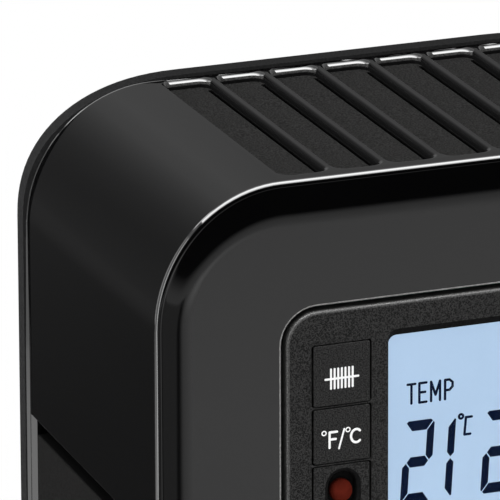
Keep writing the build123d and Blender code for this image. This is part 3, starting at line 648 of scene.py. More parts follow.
def section_ring(skin, half, corner, y_of, inset_of):
    """Ring of the housing's outline, whose corner is (reach across, reach down, exponent, run down the side).

    Both functions get 1 at the top and bottom, 0 where a corner meets the side and -1 at the end of its run.
    """
    across, down, exponent, run = corner
    corner_steps = 24
    run_steps = 6
    points = []
    for quarter, (sign_x, sign_z) in enumerate(((1, 1), (-1, 1), (-1, -1), (1, -1))):
        bend = []
        for angle in arc(corner_steps, 90 * quarter, 90 * quarter + 90):
            endwise = math.sin(angle) ** 2
            inset = inset_of(endwise)
            bend_x = sign_x * abs(math.cos(angle)) ** (2 / exponent)
            bend_z = sign_z * abs(math.sin(angle)) ** (2 / exponent)
            x = sign_x * (half[0] - across) + (across - inset) * bend_x
            z = sign_z * (half[1] - down) + (down - inset) * bend_z
            bend.append((x, y_of(endwise), housing_z + z))
        below = []
        for share in [step / run_steps for step in range(1, run_steps + 1)]:
            x = sign_x * (half[0] - inset_of(-share))
            z = sign_z * (half[1] - down - run * share)
            below.append((x, y_of(-share), housing_z + z))
        points += bend + below if quarter % 2 else below[::-1] + bend
    return skin.ring(points)


def seam_at(sizes, endwise):
    """Depth of the seam for one direction round the housing."""
    endwise = max(endwise, 0.0)
    return seam_y + sizes.seam_back * (1 - endwise) + sizes.seam_top * endwise


def straight_runs(ring):
    """Index of the straight stretch after each corner: top, left, bottom, right."""
    run = len(ring) // 4
    return [run * quarter - 1 for quarter in (1, 2, 3, 4)]


def bezel_half(panel):
    """Half width and half height of the bezel's visible frame."""
    hidden = panel.flange + panel.trim
    return bezel_high.x - hidden, (bezel_high.z - bezel_low.z) / 2 - hidden


def eased(share, knee):
    """Slope that is straight up to the knee and then levels out, from 0 to 1."""
    steepness = 2 / (1 + knee)
    if share <= knee:
        return steepness * share
    past = share - knee
    return steepness * (share - past * past / (2 * (1 - knee)))


def top_pockets(skin, sizes, vents):
    """Vent pockets in the sloping top; returns the outlines that the top has holes for."""
    front = rim_depth(sizes) + vents.front
    rear = seam_at(sizes, 1.0) - vents.margin - vents.edge
    edge_steps = 10
    gloss_rings = 8
    rear_lean = 1.8
    slit_gap = 0.05 * MM
    # Points of an outline along its rear wall, from within one corner to within the next; below the gloss
    # these walls are painted lighter as lit, the other walls darker as shaded
    rear_wall = range(1, 14)

    def place(x, y, depth):
        return (x, y, housing_z + section(sizes, y)[1] - depth)

    holes = []
    for index in range(vents.count):
        left = (index - (vents.count - 1) / 2) * vents.pitch - vents.width / 2 + vents.shift
        right = left + vents.width
        rings = []
        for inset, depth in edge_levels(vents.edge, vents.depth, edge_steps):
            near = left + inset / vents.edge * vents.edge_left
            far, back, ahead = right - inset, rear - rear_lean * inset, front + inset
            corners = [(far, back), (near, back), (near, ahead), (far, ahead)]
            points = rounded_polygon(corners, vents.corner - inset)
            rings.append(skin.ring([place(x, y, depth) for x, y in points]))
        skin.stack(rings[:gloss_rings], GLOSS)
        other_walls = [point for point in range(len(rings[0])) if point not in rear_wall]
        for upper, lower in zip(rings[gloss_rings - 1 : -2], rings[gloss_rings:-1]):
            skin.strip(upper, lower, LIT_POCKET_WALL, gaps=other_walls)
            skin.strip(upper, lower, RECESS_SHADE, gaps=rear_wall)
        skin.strip(rings[-2], rings[-1], RECESS_SHADE)
        # The slits are painted in recess shade
        slit_middle = (right - vents.slit / 2 - slit_gap, (front + rear) / 2)
        slit = rectangle(slit_middle, (vents.slit / 2, (rear - front) / 2 - vents.slit_end))
        slit_levels = [(0.0, vents.depth), (0.0, vents.depth + sizes.skin)]
        slits = skin.recess(place, slit, vents.slit / 3, slit_levels, RECESS_SHADE)
        skin.flat([rings[-1], slits[0]], POCKET_FLOOR)
        holes.append(rings[0])
    return holes


def window_outline(sizes, vents, inset=0.0, drop=0.0, slant=0.0):
    """Corners of a side window as depth and height, moved in from its edges."""
    rim_y = rim_depth(sizes)
    rim_half = section(sizes, rim_y)[1]
    front = rim_y + vents.window_front + inset
    rear = seam_at(sizes, 0.0) - vents.window_rear - slant
    low = housing_z - rim_half + vents.window_lift + inset
    top = housing_z + rim_half - vents.window_drop - drop
    fall = vents.window_slope * (rear - front)
    return [(rear, top), (front, top - fall), (front, low), (rear, low)]


def side_ring(skin, sizes, side, corners, depth):
    """Outline on one side of the front shell, below its surface by the depth."""
    steps = 6
    points = []
    for first, last in zip(corners, corners[1:] + corners[:1]):
        points += [Vector(first).lerp(Vector(last), step / steps) for step in range(steps)]
    return skin.ring([(side * (section(sizes, y)[0] - depth), y, z) for y, z in points])


def side_window(skin, sizes, vents, side):
    """Window in one side, -1 left and +1 right, with a sloping wall at its rear."""
    rings = []
    for inset, depth in edge_levels(vents.window_edge, vents.window_edge)[:-1]:
        corners = window_outline(sizes, vents, inset, inset, inset)
        rings.append(side_ring(skin, sizes, side, corners, depth))
    skin.stack(rings, GLOSS)
    sloped = window_outline(sizes, vents, slant=vents.window_slant)
    rings.append(side_ring(skin, sizes, side, sloped, vents.pad_depth))
    skin.strip(rings[-2], rings[-1], GLOSS)
    # From the pad's depth inwards the wall is painted in recess shade
    rings.append(side_ring(skin, sizes, side, sloped, sizes.wall))
    skin.strip(rings[-2], rings[-1], RECESS_SHADE)
    return rings[0]


def make_side_pads(sizes, vents):
    """Grained pad in each side window, in a tray whose rim seats on the shell's inner face; the tray's dark
    finish is painted shade in the gaps round the pad.
    """
    seat = sizes.wall + 0.1 * MM
    foot = seat + 3.1 * MM
    thickness = 2.0 * MM
    outside = -1.0 * MM
    rim_inside = -0.2 * MM
    pad_edge = 0.25 * MM
    rear_gap = 0.05 * MM
    # The tray's finish paints shade in the gaps round the pad
    tray = 1
    base = window_outline(sizes, vents, outside, outside, outside)
    rim = window_outline(sizes, vents, rim_inside, rim_inside, rim_inside)
    pad = window_outline(sizes, vents, vents.pad_gap, vents.pad_drop, vents.window_slant + rear_gap)
    top = window_outline(
        sizes, vents, vents.pad_gap + pad_edge, vents.pad_drop + pad_edge, vents.window_slant + pad_edge
    )
    levels = [
        (base, foot + thickness), (base, seat), (rim, seat), (rim, foot), (pad, foot),
        (pad, vents.pad_depth + pad_edge), (top, vents.pad_depth),
    ]
    for side, name in ((-1, "left"), (1, "right")):
        skin = Skin()
        rings = [side_ring(skin, sizes, side, corners, depth) for corners, depth in levels]
        skin.stack(rings[:-1], tray)
        skin.strip(rings[-2], rings[-1])
        skin.flat([rings[-1]])
        skin.flat([rings[0]], tray)
        skin.close()
        add_piece(
            f"side_pad_{name}",
            skin.mesh(f"side_pad_{name}"),
            ["pad_grain", "recess_black"],
            "grain_black",
            stands_for=[f"side_panel_{name}"],
        )


def underside_holes(skin, sizes):
    """Air slots and the cord gland's recess in the underside."""
    slot_count = 6
    slot_pitch = 9 * MM
    slot_half = (1.5 * MM, 20 * MM)
    slot_corner = 1.2 * MM
    slot_edge = 0.2 * MM
    slots_x = -34 * MM
    gland_gap = 0.4 * MM
    gland_depth = 4.4 * MM
    gland = box_middle("cord_gland")
    gland_low, gland_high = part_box("cord_gland")
    middle_y = (rim_depth(sizes) + seam_y) / 2

    def place(x, y, depth):
        return (x, y, housing_z - section(sizes, y)[1] + depth)

    holes = []
    for index in range(slot_count):
        x = slots_x + (index - (slot_count - 1) / 2) * slot_pitch
        outline = rectangle((x, middle_y), slot_half)
        holes.append(skin.recess(place, outline, slot_corner, edge_levels(slot_edge, sizes.wall))[0])
    outline = circle(gland.x, gland.y, (gland_high.x - gland_low.x) / 2 + gland_gap)
    rings = [skin.ring([place(x, y, depth) for x, y in outline]) for depth in (0.0, gland_depth)]
    skin.stack(rings)
    return holes + [rings[0]]


def flared_edge(skin, sizes):
    """Rings of the front shell's rounded rear edge, which turns out down the sides."""
    half = section(sizes, seam_y)
    corner = (sizes.corner_across, sizes.corner_rear, 2.0, sizes.flare_run)
    top_length = 0.35
    top_flare = 0.185
    knee = 0.7
    growth = 2.0
    steps = 8

    def grown(endwise, at_top):
        return at_top + (1 - at_top) * ((1 - endwise) / 2) ** growth

    # Shares of the rounded edge's depth, the flare's length, its reach and the rounding
    turns = [(edge, 0.0, 1.0, rounding) for edge, rounding in quarter_round(1.0, 5)]
    turns += [(1.0, step / steps, 1 - eased(step / steps, knee), 0.0) for step in range(1, steps + 1)]
    rings = []
    for edge, along, spread, rounding in turns:

        def depth(endwise):
            reach = sizes.flare_length * grown(endwise, top_length)
            return seam_at(sizes, endwise) - edge * sizes.rear_edge - along * reach

        def inset(endwise):
            return rounding * sizes.rear_edge - spread * (sizes.flare * grown(endwise, top_flare))

        rings.append(section_ring(skin, half, corner, depth, inset))
    return rings


def rim_and_border(skin, sizes):
    """Rings of the rounded rim and of the border that slopes up from it to the face."""
    rim_y = rim_depth(sizes)
    half = section(sizes, rim_y)
    corner = (sizes.corner_across, sizes.corner_front, 2.0, sizes.flare_run)
    rings = []
    for inset, behind in quarter_round(sizes.lip_radius, 8):
        rings.append(section_ring(skin, half, corner, lambda _: rim_y + behind, lambda _: inset))
    border_start = sizes.lip_radius + sizes.lip_land
    side_knee = 0.4
    top_knee = 0.25
    steps = 16
    for share in [step / steps for step in range(steps + 1)]:

        def depth(endwise):
            endwise = max(endwise, 0.0)
            rise = eased(share, side_knee) * (1 - endwise) + eased(share, top_knee) * endwise
            return rim_y - sizes.bevel_rise * rise

        def inset_at(endwise):
            endwise = max(endwise, 0.0)
            width = sizes.bevel_side * (1 - endwise) + sizes.bevel_top * endwise
            return border_start + (width - border_start) * share

        rings.append(section_ring(skin, half, corner, depth, inset_at))
    return rings


def panel_opening(skin, sizes, panel):
    """Opening for the bezel, with a light grey edge that paints a highlight and a wall in painted shade
    behind it; returns its outline on the face.
    """
    half = [side + sizes.bezel_groove for side in bezel_half(panel)]
    corners = rectangle((0.0, panel_z), half)
    radius = panel.radius + sizes.bezel_groove
    edge = edge_levels(sizes.trim_line, sizes.trim_line)[:-1]
    rings = skin.recess(back_from(face_y), corners, radius, edge, TRIM_HIGHLIGHT)
    inner = skin.ring([(x, face_y + sizes.wall, z) for x, z in rounded_polygon(corners, radius)])
    skin.strip(rings[-1], inner, RECESS_SHADE)
    return rings[0]


def make_front_shell(sizes, vents, panel):
    """Gloss front half: tapering sides, rounded rim, sloping border and pierced flats."""
    skin = Skin()
    rear = flared_edge(skin, sizes)
    front = rim_and_border(skin, sizes)
    skin.stack(rear, GLOSS)
    skin.stack(front, GLOSS)

    lip = front[0]
    runs = straight_runs(lip)
    skin.strip(rear[-1], lip, GLOSS, gaps=runs)
    holes = [
        top_pockets(skin, sizes, vents),
        [side_window(skin, sizes, vents, -1)],
        underside_holes(skin, sizes),
        [side_window(skin, sizes, vents, 1)],
    ]
    for run, hole in zip(runs, holes):
        after = (run + 1) % len(lip)
        skin.flat([[rear[-1][run], rear[-1][after], lip[after], lip[run]], *hole], GLOSS)
    opening = panel_opening(skin, sizes, panel)
    skin.flat([front[-1], opening], GLOSS)
    skin.face_away(Vector((0, (face_y + seam_y) / 2, housing_z)))
    piece = add_piece(
        "housing_front",
        skin.mesh("housing_front"),
        shell_finishes,
        "gloss_black",
        stands_for=["front_shell"],
        weighted=False,
    )
    # The flared edge's rings come first in the mesh, and its wall is thin
    thin = piece.vertex_groups.new(name="thin")
    thin.add(range(len(rear) * len(rear[0])), 1.0, "REPLACE")
    wall = piece.modifiers.new("Wall", "SOLIDIFY")
    wall.thickness = sizes.skin
    wall.offset = -1.0
    wall.vertex_group = thin.name
    wall.invert_vertex_group = True
    wall.thickness_vertex_group = 0.08
    weigh_normals(piece)


def screw_places(reach):
    """Middles of the four housing screws, each that far in from the corners of their box."""
    low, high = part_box("housing_screws")
    return [(x, z) for x in (low.x + reach, high.x - reach) for z in (low.z + reach, high.z - reach)]


def make_rear_shell(sizes):
    """Satin band behind the seam, with a rounded back edge and four screw wells."""
    skin = Skin()
    half = (band_high.x, (band_high.z - band_low.z) / 2)
    corner = (sizes.band_across, sizes.corner_rear, sizes.fullness, sizes.flare_run)
    front_edge = 0.1 * MM
    tuck = 6 * MM
    well_reach = 3.8 * MM
    well_radius = 4.1 * MM
    well_depth = 3.6 * MM

    def front_y(endwise):
        return seam_at(sizes, endwise) + sizes.seam_gap

    rings = [section_ring(skin, half, corner, front_y, lambda _: tuck)]
    for behind, inset in quarter_round(front_edge, 4):
        rings.append(section_ring(skin, half, corner, lambda end: front_y(end) + behind, lambda _: inset))
    for inset, ahead in quarter_round(sizes.band_edge, 8):
        rings.append(section_ring(skin, half, corner, lambda _: back_y - ahead, lambda _: inset))
    skin.stack(rings)
    wells = []
    for x, z in screw_places(well_reach):
        outline = circle(x, z, well_radius)
        well = [skin.ring([(u, y, v) for u, v in outline]) for y in (back_y, back_y - well_depth)]
        skin.stack(well)
        skin.cap(well[-1])
        wells.append(well[0])
    skin.flat([rings[-1], *wells])
    skin.flat([rings[0]])
    skin.close()
    data = skin.mesh("housing_rear")
    add_piece("housing_rear", data, ["band_black"], "satin_black", stands_for=["rear_shell"])


# Control panel


def key_cells(panel):
    """Middle and height of each cell by its node: the receiver has the third cell of the left column."""
    column = abs(box_middle("button_power").x) + panel.column_shift
    places = {
        "button_heat": (-1, 0), "button_unit": (-1, 1), "ir_window": (-1, 2), "button_lock": (-1, 3),
        "button_power": (1, 0), "button_up": (1, 1), "button_down": (1, 2), "button_timer": (1, 3),
    }
    cells = {}
    for node, (side, row) in places.items():
        above, below = panel.rows[row], panel.rows[row + 1]
        cells[node] = (side * column, panel_z + (above + below) / 2), above - below
    return cells


def display_window(panel):
    """Half width and half height of the display's opening."""
    return lens_high.x - panel.lens_lip + panel.lcd_widen, (lens_high.z - lens_low.z) / 2 - panel.lens_lip


def make_bezel(panel):
    """Grained frame of the panel, with a hole for each key and a sunk opening for the display; the slope
    above the display is painted in recess shade, and the outer edge has a lighter painted sheen.
    """
    skin = Skin()
    place = back_from(bezel_y)
    # The brow's finish paints shade on the slope above the display, and the outer edge's finish paints a
    # sheen
    brow, outer_edge = 1, 2
    outline = rectangle((0.0, panel_z), bezel_half(panel))
    outside = skin.recess(place, outline, panel.radius, rim_levels(panel.edge, panel.thickness), outer_edge)
    hole_edge = 0.05 * MM
    walls = []
    for centre, height in key_cells(panel).values():
        half = (panel.key_width / 2 + panel.side_gap, (height - panel.web) / 2)
        levels = edge_levels(hole_edge, panel.thickness, 3)
        walls.append(skin.recess(place, rectangle(centre, half), panel.key_corner + panel.gap, levels))

    half_width, half_height = display_window(panel)
    sink = 0.9 * MM
    side_slope = 0.35 * MM
    # Share of the slope's width that is left, and the depth there
    levels = [
        (1.0, 0.0), (0.85, 0.05 * MM), (0.15, sink - 0.1 * MM), (0.0, sink), (0.0, panel.thickness),
    ]
    slope = []
    for share, depth in levels:
        reach = half_width + share * side_slope
        upper = panel_z + half_height + share * panel.lcd_brow
        lower = panel_z - half_height - share * side_slope
        corners = [(reach, upper), (-reach, upper), (-reach, lower), (reach, lower)]
        points = rounded_polygon(corners, panel.lcd_corner + share * side_slope)
        slope.append(skin.ring([place(x, z, depth) for x, z in points]))
    skin.stack(slope, brow)
    walls.append(slope)
    skin.flat([outside[-1], *[rings[0] for rings in walls]])
    skin.flat([outside[0], *[rings[-1] for rings in walls]])
    skin.close()
    add_piece(
        "panel_bezel",
        skin.mesh("panel_bezel"),
        ["grain_black", "recess_black", "grain_edge_painted_sheen"],
        "grain_black",
        stands_for=["control_bezel"],
    )


def key_block(cell, front_y, panel, well=None):
    """Key's cap, with an optional sunk well in its face as (middle, half sizes, levels)."""
    skin = Skin()
    place = back_from(front_y)
    centre, height = cell
    half = (panel.key_width / 2, (height - panel.web) / 2 - panel.gap)
    thickness = 4 * MM
    # The well takes the second finish, which paints shade in it
    sunk_finish = 1
    levels = rim_levels(panel.key_edge, thickness, 4)
    rings = skin.recess(place, rectangle(centre, half), panel.key_corner, levels)
    if well is None:
        skin.flat([rings[-1]])
    else:
        middle, reach, well_levels = well
        sunk = skin.recess(place, rectangle(middle, reach), reach[0] - 0.01 * MM, well_levels, sunk_finish)
        skin.cap(sunk[-1], finish=sunk_finish)
        skin.flat([rings[-1], sunk[0]])
    skin.cap(rings[0])
    skin.close()
    return skin


def make_receiver(panel):
    """Tile in the third cell, with an upright well painted in recess shade and a dark red dome in it."""
    cell = key_cells(panel)["ir_window"]
    shift = (0.35 * MM, 0.2 * MM)
    centre = (cell[0][0] + shift[0], cell[0][1] + shift[1])
    dome_radius = 2.7 * MM
    dome_front = 1.1 * MM
    well_half = (3.4 * MM, 4.8 * MM)
    well_edge = 1.0 * MM
    well_depth = 2.2 * MM
    tile = key_block(cell, bezel_y, panel, (centre, well_half, edge_levels(well_edge, well_depth)))
    add_piece("receiver_tile", tile.mesh("receiver_tile"), ["grain_black", "recess_black"], "grain_black")
    skin = Skin()
    tip_y = bezel_y - dome_front
    rings = []
    for angle in arc(14, 4, 90):
        reach = dome_radius * math.sin(angle)
        y = tip_y + dome_radius * (1 - math.cos(angle))
        rings.append(skin.ring([(x, y, z) for x, z in circle(*centre, reach)]))
    rings.append(skin.ring([(x, bezel_y + well_depth, z) for x, z in circle(*centre, dome_radius)]))
    skin.stack(rings)
    skin.cap(rings[0], rings[-1])
    skin.close()
    add_piece("receiver_dome", skin.mesh("receiver_dome"), ["ir_red"], "ir_red", stands_for=["ir_window"])


def ring_stroke(x, z, radius, first=0.0, last=360.0):
    """Points of a round stroke, angles counted from the right and upwards."""
    angles = arc(28, first, last)
    return [(x + radius * math.cos(angle), z + radius * math.sin(angle)) for angle in angles]


def heat_sign():
    """Radiator sign: seven upright bars on a rail."""
    bars = [[(x * 0.88, -2.3), (x * 0.88, 2.3)] for x in range(-3, 4)]
    return [(bars, 0.47), ([[(-4.0, 0.0), (4.0, 0.0)]], 0.5)]


def unit_sign():
    """Degree signs for the two temperature scales."""
    letter_f = [[(-3.0, -1.9), (-3.0, 1.75), (-1.2, 1.75)], [(-3.0, 0.05), (-1.5, 0.05)]]
    letter_c = [[(x + 0.4, z * 1.2 + 0.2) for x, z in ring_stroke(3.15, 0.0, 1.3, 48, 312)]]
    degrees = [ring_stroke(-4.35, 1.7, 0.5), ring_stroke(1.5, 1.9, 0.5)]
    return [(letter_f + letter_c, 0.56), (degrees, 0.28), ([[(-0.7, -2.3), (0.6, 2.2)]], 0.42)]


def lock_sign():
    """Padlock."""
    body = [[(-2.2, 0.2), (2.2, 0.2), (2.2, -2.8), (-2.2, -2.8), (-2.2, 0.2)]]
    shackle = [[(-1.4, 0.4), *ring_stroke(0.0, 1.2, 1.4, 180, 0), (1.4, 0.4)]]
    return [(body + shackle, 0.5)]


def power_sign():
    """Broken ring with a bar."""
    return [([ring_stroke(0.0, -0.2, 2.5, 125, 415), [(0.0, 0.4), (0.0, 2.9)]], 0.55)]


def arrow_sign(way):
    """Chevron pointing up or down."""
    return [([[(-2.2, -1.1 * way), (0.0, 1.1 * way), (2.2, -1.1 * way)]], 0.6)]


def timer_sign():
    """Clock face with its hands."""
    return [([ring_stroke(0.0, 0.0, 2.6), [(0.0, 1.6), (0.0, 0.0), (1.2, -0.7)]], 0.45)]


def smooth_parts(points):
    """Parts of a stroke between its sharp bends."""
    sharp = math.radians(50)
    line = [Vector(point) for point in points]
    parts = [line[:1]]
    for before, here, after in zip(line, line[1:], line[2:]):
        parts[-1].append(here)
        if (here - before).angle(after - here) > sharp:
            parts.append([here])
    parts[-1].append(line[-1])
    return parts


def add_stroke(skin, points, width, middle, front_y, rise):
    """Flat raised stroke along a line, with round ends unless the line is closed."""
    closed = (points[0] - points[-1]).length < 1e-9
    steps = [(after - here).normalized() for here, after in zip(points, points[1:])]
    sections = []
    for index, here in enumerate(points):
        into = steps[index - 1] if index or closed else steps[0]
        out = steps[index % len(steps)] if index < len(steps) or closed else steps[-1]
        along = (into + out).normalized()
        sections.append((here, Vector((-along.y, along.x)) * (width / 2 / along.dot(out)), along))
    if closed:
        sections.pop()
    else:
        for place, way in ((0, -1), (-1, 1)):
            end, side, along = sections[place]
            tip = [
                (end + along * (way * width / 2 * math.sin(angle)), side * math.cos(angle), along)
                for angle in arc(4, 20, 84)
            ]
            sections = tip[::-1] + sections if place == 0 else sections + tip
    rings = []
    for here, side, _ in sections:
        left, right = here + side, here - side
        corners = ((left, front_y), (left, front_y - rise), (right, front_y - rise), (right, front_y))
        rings.append(skin.ring([(middle[0] + place.x, y, middle[1] + place.y) for place, y in corners]))
    if closed:
        skin.stack(rings + rings[:1])
        return
    skin.stack(rings)
    skin.cap(rings[0], rings[-1])


def make_sign(name, sign, middle, front_y, rise, finish, slot, body):
    """Printed sign made of groups of strokes, each group as (strokes in millimetres, width)."""
    skin = Skin()
    layer = 0.004 * MM
    height = rise
    for strokes, width in sign:
        for stroke in strokes:
            for part in smooth_parts([(x * MM, z * MM) for x, z in stroke]):
                add_stroke(skin, part, width * MM, middle, front_y, height)
                height += layer
    skin.close()
    add_piece(name, skin.mesh(name), [finish], slot, body=body, weighted=False)


def make_keys(panel):
    """Seven keys with their printed signs."""
    signs = {
        "button_heat": heat_sign(),
        "button_unit": unit_sign(),
        "button_lock": lock_sign(),
        "button_power": power_sign(),
        "button_up": arrow_sign(1),
        "button_down": arrow_sign(-1),
        "button_timer": timer_sign(),
    }
    sign_shift = (-0.05 * MM, -0.88 * MM)
    for node, sign in signs.items():
        cell = key_cells(panel)[node]
        front_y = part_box(node)[0].y
        skin = key_block(cell, front_y, panel)
        add_piece(
            node.replace("button", "key"),
            skin.mesh(node),
            ["grain_black"],
            "grain_black",
            body=node,
            stands_for=[node],
        )
        middle = (cell[0][0] + sign_shift[0], cell[0][1] + sign_shift[1])
        name = node.replace("button", "sign")
        make_sign(name, sign, middle, front_y, panel.print_rise, "sign", "grain_black", node)


# Display


def digit_bars(width, height, across, upright, cut):
    """Corners of the seven bars of a digit with cut corners, from its top left, by their usual letters."""
    half = height / 2
    right = width - upright
    share = cut / (across + upright)
    mitre_left = (share * upright, -share * across)
    mitre_right = (width - share * upright, -share * across)
    waist_left = (upright / 2, -half)
    waist_right = (width - upright / 2, -half)
    above, below = -half + across / 2, -half - across / 2
    shoulder = -half + across * 0.4
    bars = {
        "a": [(cut, 0), (width - cut, 0), mitre_right, (right, -across), (upright, -across), mitre_left],
        "b": [mitre_right, (width, -cut), (width, shoulder), waist_right, (right, above), (right, -across)],
        "g": [waist_left, (upright, above), (right, above), waist_right, (right, below), (upright, below)],
    }

    def turned(points):
        return [(width - x, -height - z) for x, z in points]

    def mirrored(points):
        return [(width - x, z) for x, z in points]

    bars["c"] = mirrored(turned(bars["b"]))
    bars["d"] = turned(bars["a"])
    bars["e"] = turned(bars["b"])
    bars["f"] = mirrored(bars["b"])
    return bars


def add_prism(skin, corners, front_y, thickness, gap):
    """Thin plate with the given outline, smaller all round by the gap."""
    outline = rounded_polygon(corners, 0.0, gap, 1)
    rings = [skin.ring([(x, y, z) for x, z in outline]) for y in (front_y + thickness, front_y)]
    skin.stack(rings)
    skin.cap(*rings)


def make_display(panel):
    """Lit plate behind a clear lens, with dark segments between them."""
    thickness = 0.5 * MM
    air = 0.3 * MM
    margin = 0.05 * MM
    edge = 0.08 * MM
    plate_y = lens_low.y + thickness + air
    window = display_window(panel)
    outline = rectangle((0.0, panel_z), window)
    for name, front, finish, node in (
        ("display_lens", lens_low.y, "clear", "lcd_lens"),
        ("display_plate", plate_y, "lcd_blue", "lcd_module"),
    ):
        skin = Skin()
        levels = [(inset + margin, depth) for inset, depth in rim_levels(edge, thickness, 3)]
        rings = skin.recess(back_from(front), outline, panel.lcd_corner, levels)
        skin.flat([rings[-1]])
        skin.flat([rings[0]])
        skin.close()
        add_piece(name, skin.mesh(name), [finish], finish, stands_for=[node])

    film = 0.06 * MM
    front_y = plate_y - film
    left = -window[0]
    top = panel_z + window[1]
    make_digits(panel, left, top, front_y, film)
    make_labels(left, top, plate_y, film)


def make_digits(panel, left, top, front_y, film):
    """Three digits of up to seven bars, and the three bars of the heat setting below them."""
    digit_top = top - 21.4 * MM
    digit_size = (7.65 * MM, 20.1 * MM, 2.7 * MM, 2.0 * MM, 1.0 * MM)
    bar_gap = 0.13 * MM
    numbers = ((3.25 * MM, "abged"), (8.55 * MM, "bc"), (23.2 * MM, "abged"))
    setting_start = (6.5 * MM, 50.0 * MM)
    setting_pitch = 4.2 * MM
    setting_half = (1.7 * MM, 1.2 * MM)
    setting_growth = 0.7 * MM
    bars = digit_bars(*digit_size)
    skin = Skin()
    for start, lit in numbers:
        for letter in lit:
            corners = []
            for x, z in bars[letter]:
                lean = panel.slant * (z + digit_size[1])
                corners.append((left + start + x + lean, digit_top + z))
            add_prism(skin, corners, front_y, film, bar_gap)
    for index in range(3):
        middle = (left + setting_start[0] + setting_pitch * index, top - setting_start[1])
        half = (setting_half[0], setting_half[1] + setting_growth * index)
        add_prism(skin, rectangle(middle, half), front_y, film, 0.0)
    skin.close()
    add_piece("display_digits", skin.mesh("display_digits"), ["segment"], "lcd_blue")


def make_labels(left, top, plate_y, film):
    """Word, degree sign, scale and hours of the display, as strokes in millimetres."""
    word = [
        [(0.05, 4.6), (1.95, 4.6)],
        [(1.0, 4.6), (1.0, 0.0)],
        [(4.7, 4.6), (2.95, 4.6), (2.95, 0.0), (4.7, 0.0)],
        [(2.95, 2.4), (4.4, 2.4)],
        [(5.85, 0.0), (5.85, 4.6), (6.95, 1.4), (8.05, 4.6), (8.05, 0.0)],
        [(9.3, 0.0), (9.3, 4.6), (10.4, 4.6), (11.15, 3.9), (11.15, 2.9), (10.4, 2.15), (9.3, 2.15)],
    ]
    degree = [ring_stroke(0.0, 0.0, 0.52)]
    scale_c = [[(3.0, 0.3), (1.55, 0.3), (1.42, -1.6)], [(1.36, -1.95), (1.2, -3.8), (2.65, -3.8)]]
    hours = [[(0.0, 4.4), (0.0, 0.0)], [(0.0, 2.2), (0.7, 2.8), (1.5, 2.8), (2.0, 2.2), (2.0, 0.0)]]
    for name, strokes, width, x, z in (
        ("display_word", word, 0.58, 5.2, 17.3),
        ("display_degree", degree, 0.56, 18.5, 21.95),
        ("display_scale", scale_c, 0.6, 18.15, 22.6),
        ("display_hours", hours, 0.5, 35.0, 40.0),
    ):
        middle = (left + x * MM, top - z * MM)
        make_sign(name, [(strokes, width)], middle, plate_y, film, "segment", "lcd_blue", ROOT)


# Radiator, feet and casters


def smooth_step(value, start, end):
    """0 before the start, 1 after the end and a smooth rise between them."""
    share = max(0.0, min(1.0, (value - start) / (end - start)))
    return share * share * (3 - 2 * share)


def spaced(first, last, step):
    """Evenly spaced values from the first to the last, about a step apart."""
    count = max(1, round(abs(last - first) / step))
    return [first + (last - first) * index / count for index in range(count + 1)]


def pressed_height(fin, x, z):
    """How far a fin's face stands from its middle plane, x and z counted from the fin's middle."""
    over_x = abs(x) - fin_half_width + fin.corner
    over_z = abs(z) - fin_half_height + fin.corner
    outside = math.hypot(max(over_x, 0.0), max(over_z, 0.0))
    inside = max(0.0, fin.corner - outside - min(max(over_x, over_z), 0.0))
    half_sheet = fin.sheet / 2
    round_edge = math.sqrt(max(0.0, half_sheet**2 - max(0.0, half_sheet - inside) ** 2))

    half_channel = fin.channel_width / 2
    channel_end = fin_half_height - fin.channel_margin - half_channel
    lane = max(-1, min(1, round(x / fin.channel_spacing))) * fin.channel_spacing
    across = math.hypot(x - lane, max(0.0, abs(z) - channel_end))
    flank = fin.channel_flank
    channel = fin.channel_rise * smooth_step(half_channel - across, -0.2 * flank, 0.8 * flank)

    neck_height = fin_half_pitch - fin.neck_length - half_sheet
    neck_land = 0.5 * MM
    from_hub = math.hypot(x, abs(z) - fin_half_height + fin.hub_rise)
    hub = neck_height * smooth_step(-from_hub, -fin.hub_foot, -fin.hub_neck + neck_land)
    blend = 2.0 * MM
    overlap = max(0.0, blend - abs(channel - hub))
    pressed = max(channel, hub)
    if min(channel, hub) > 0:
        pressed += overlap * overlap / (4 * blend)
    return round_edge + pressed


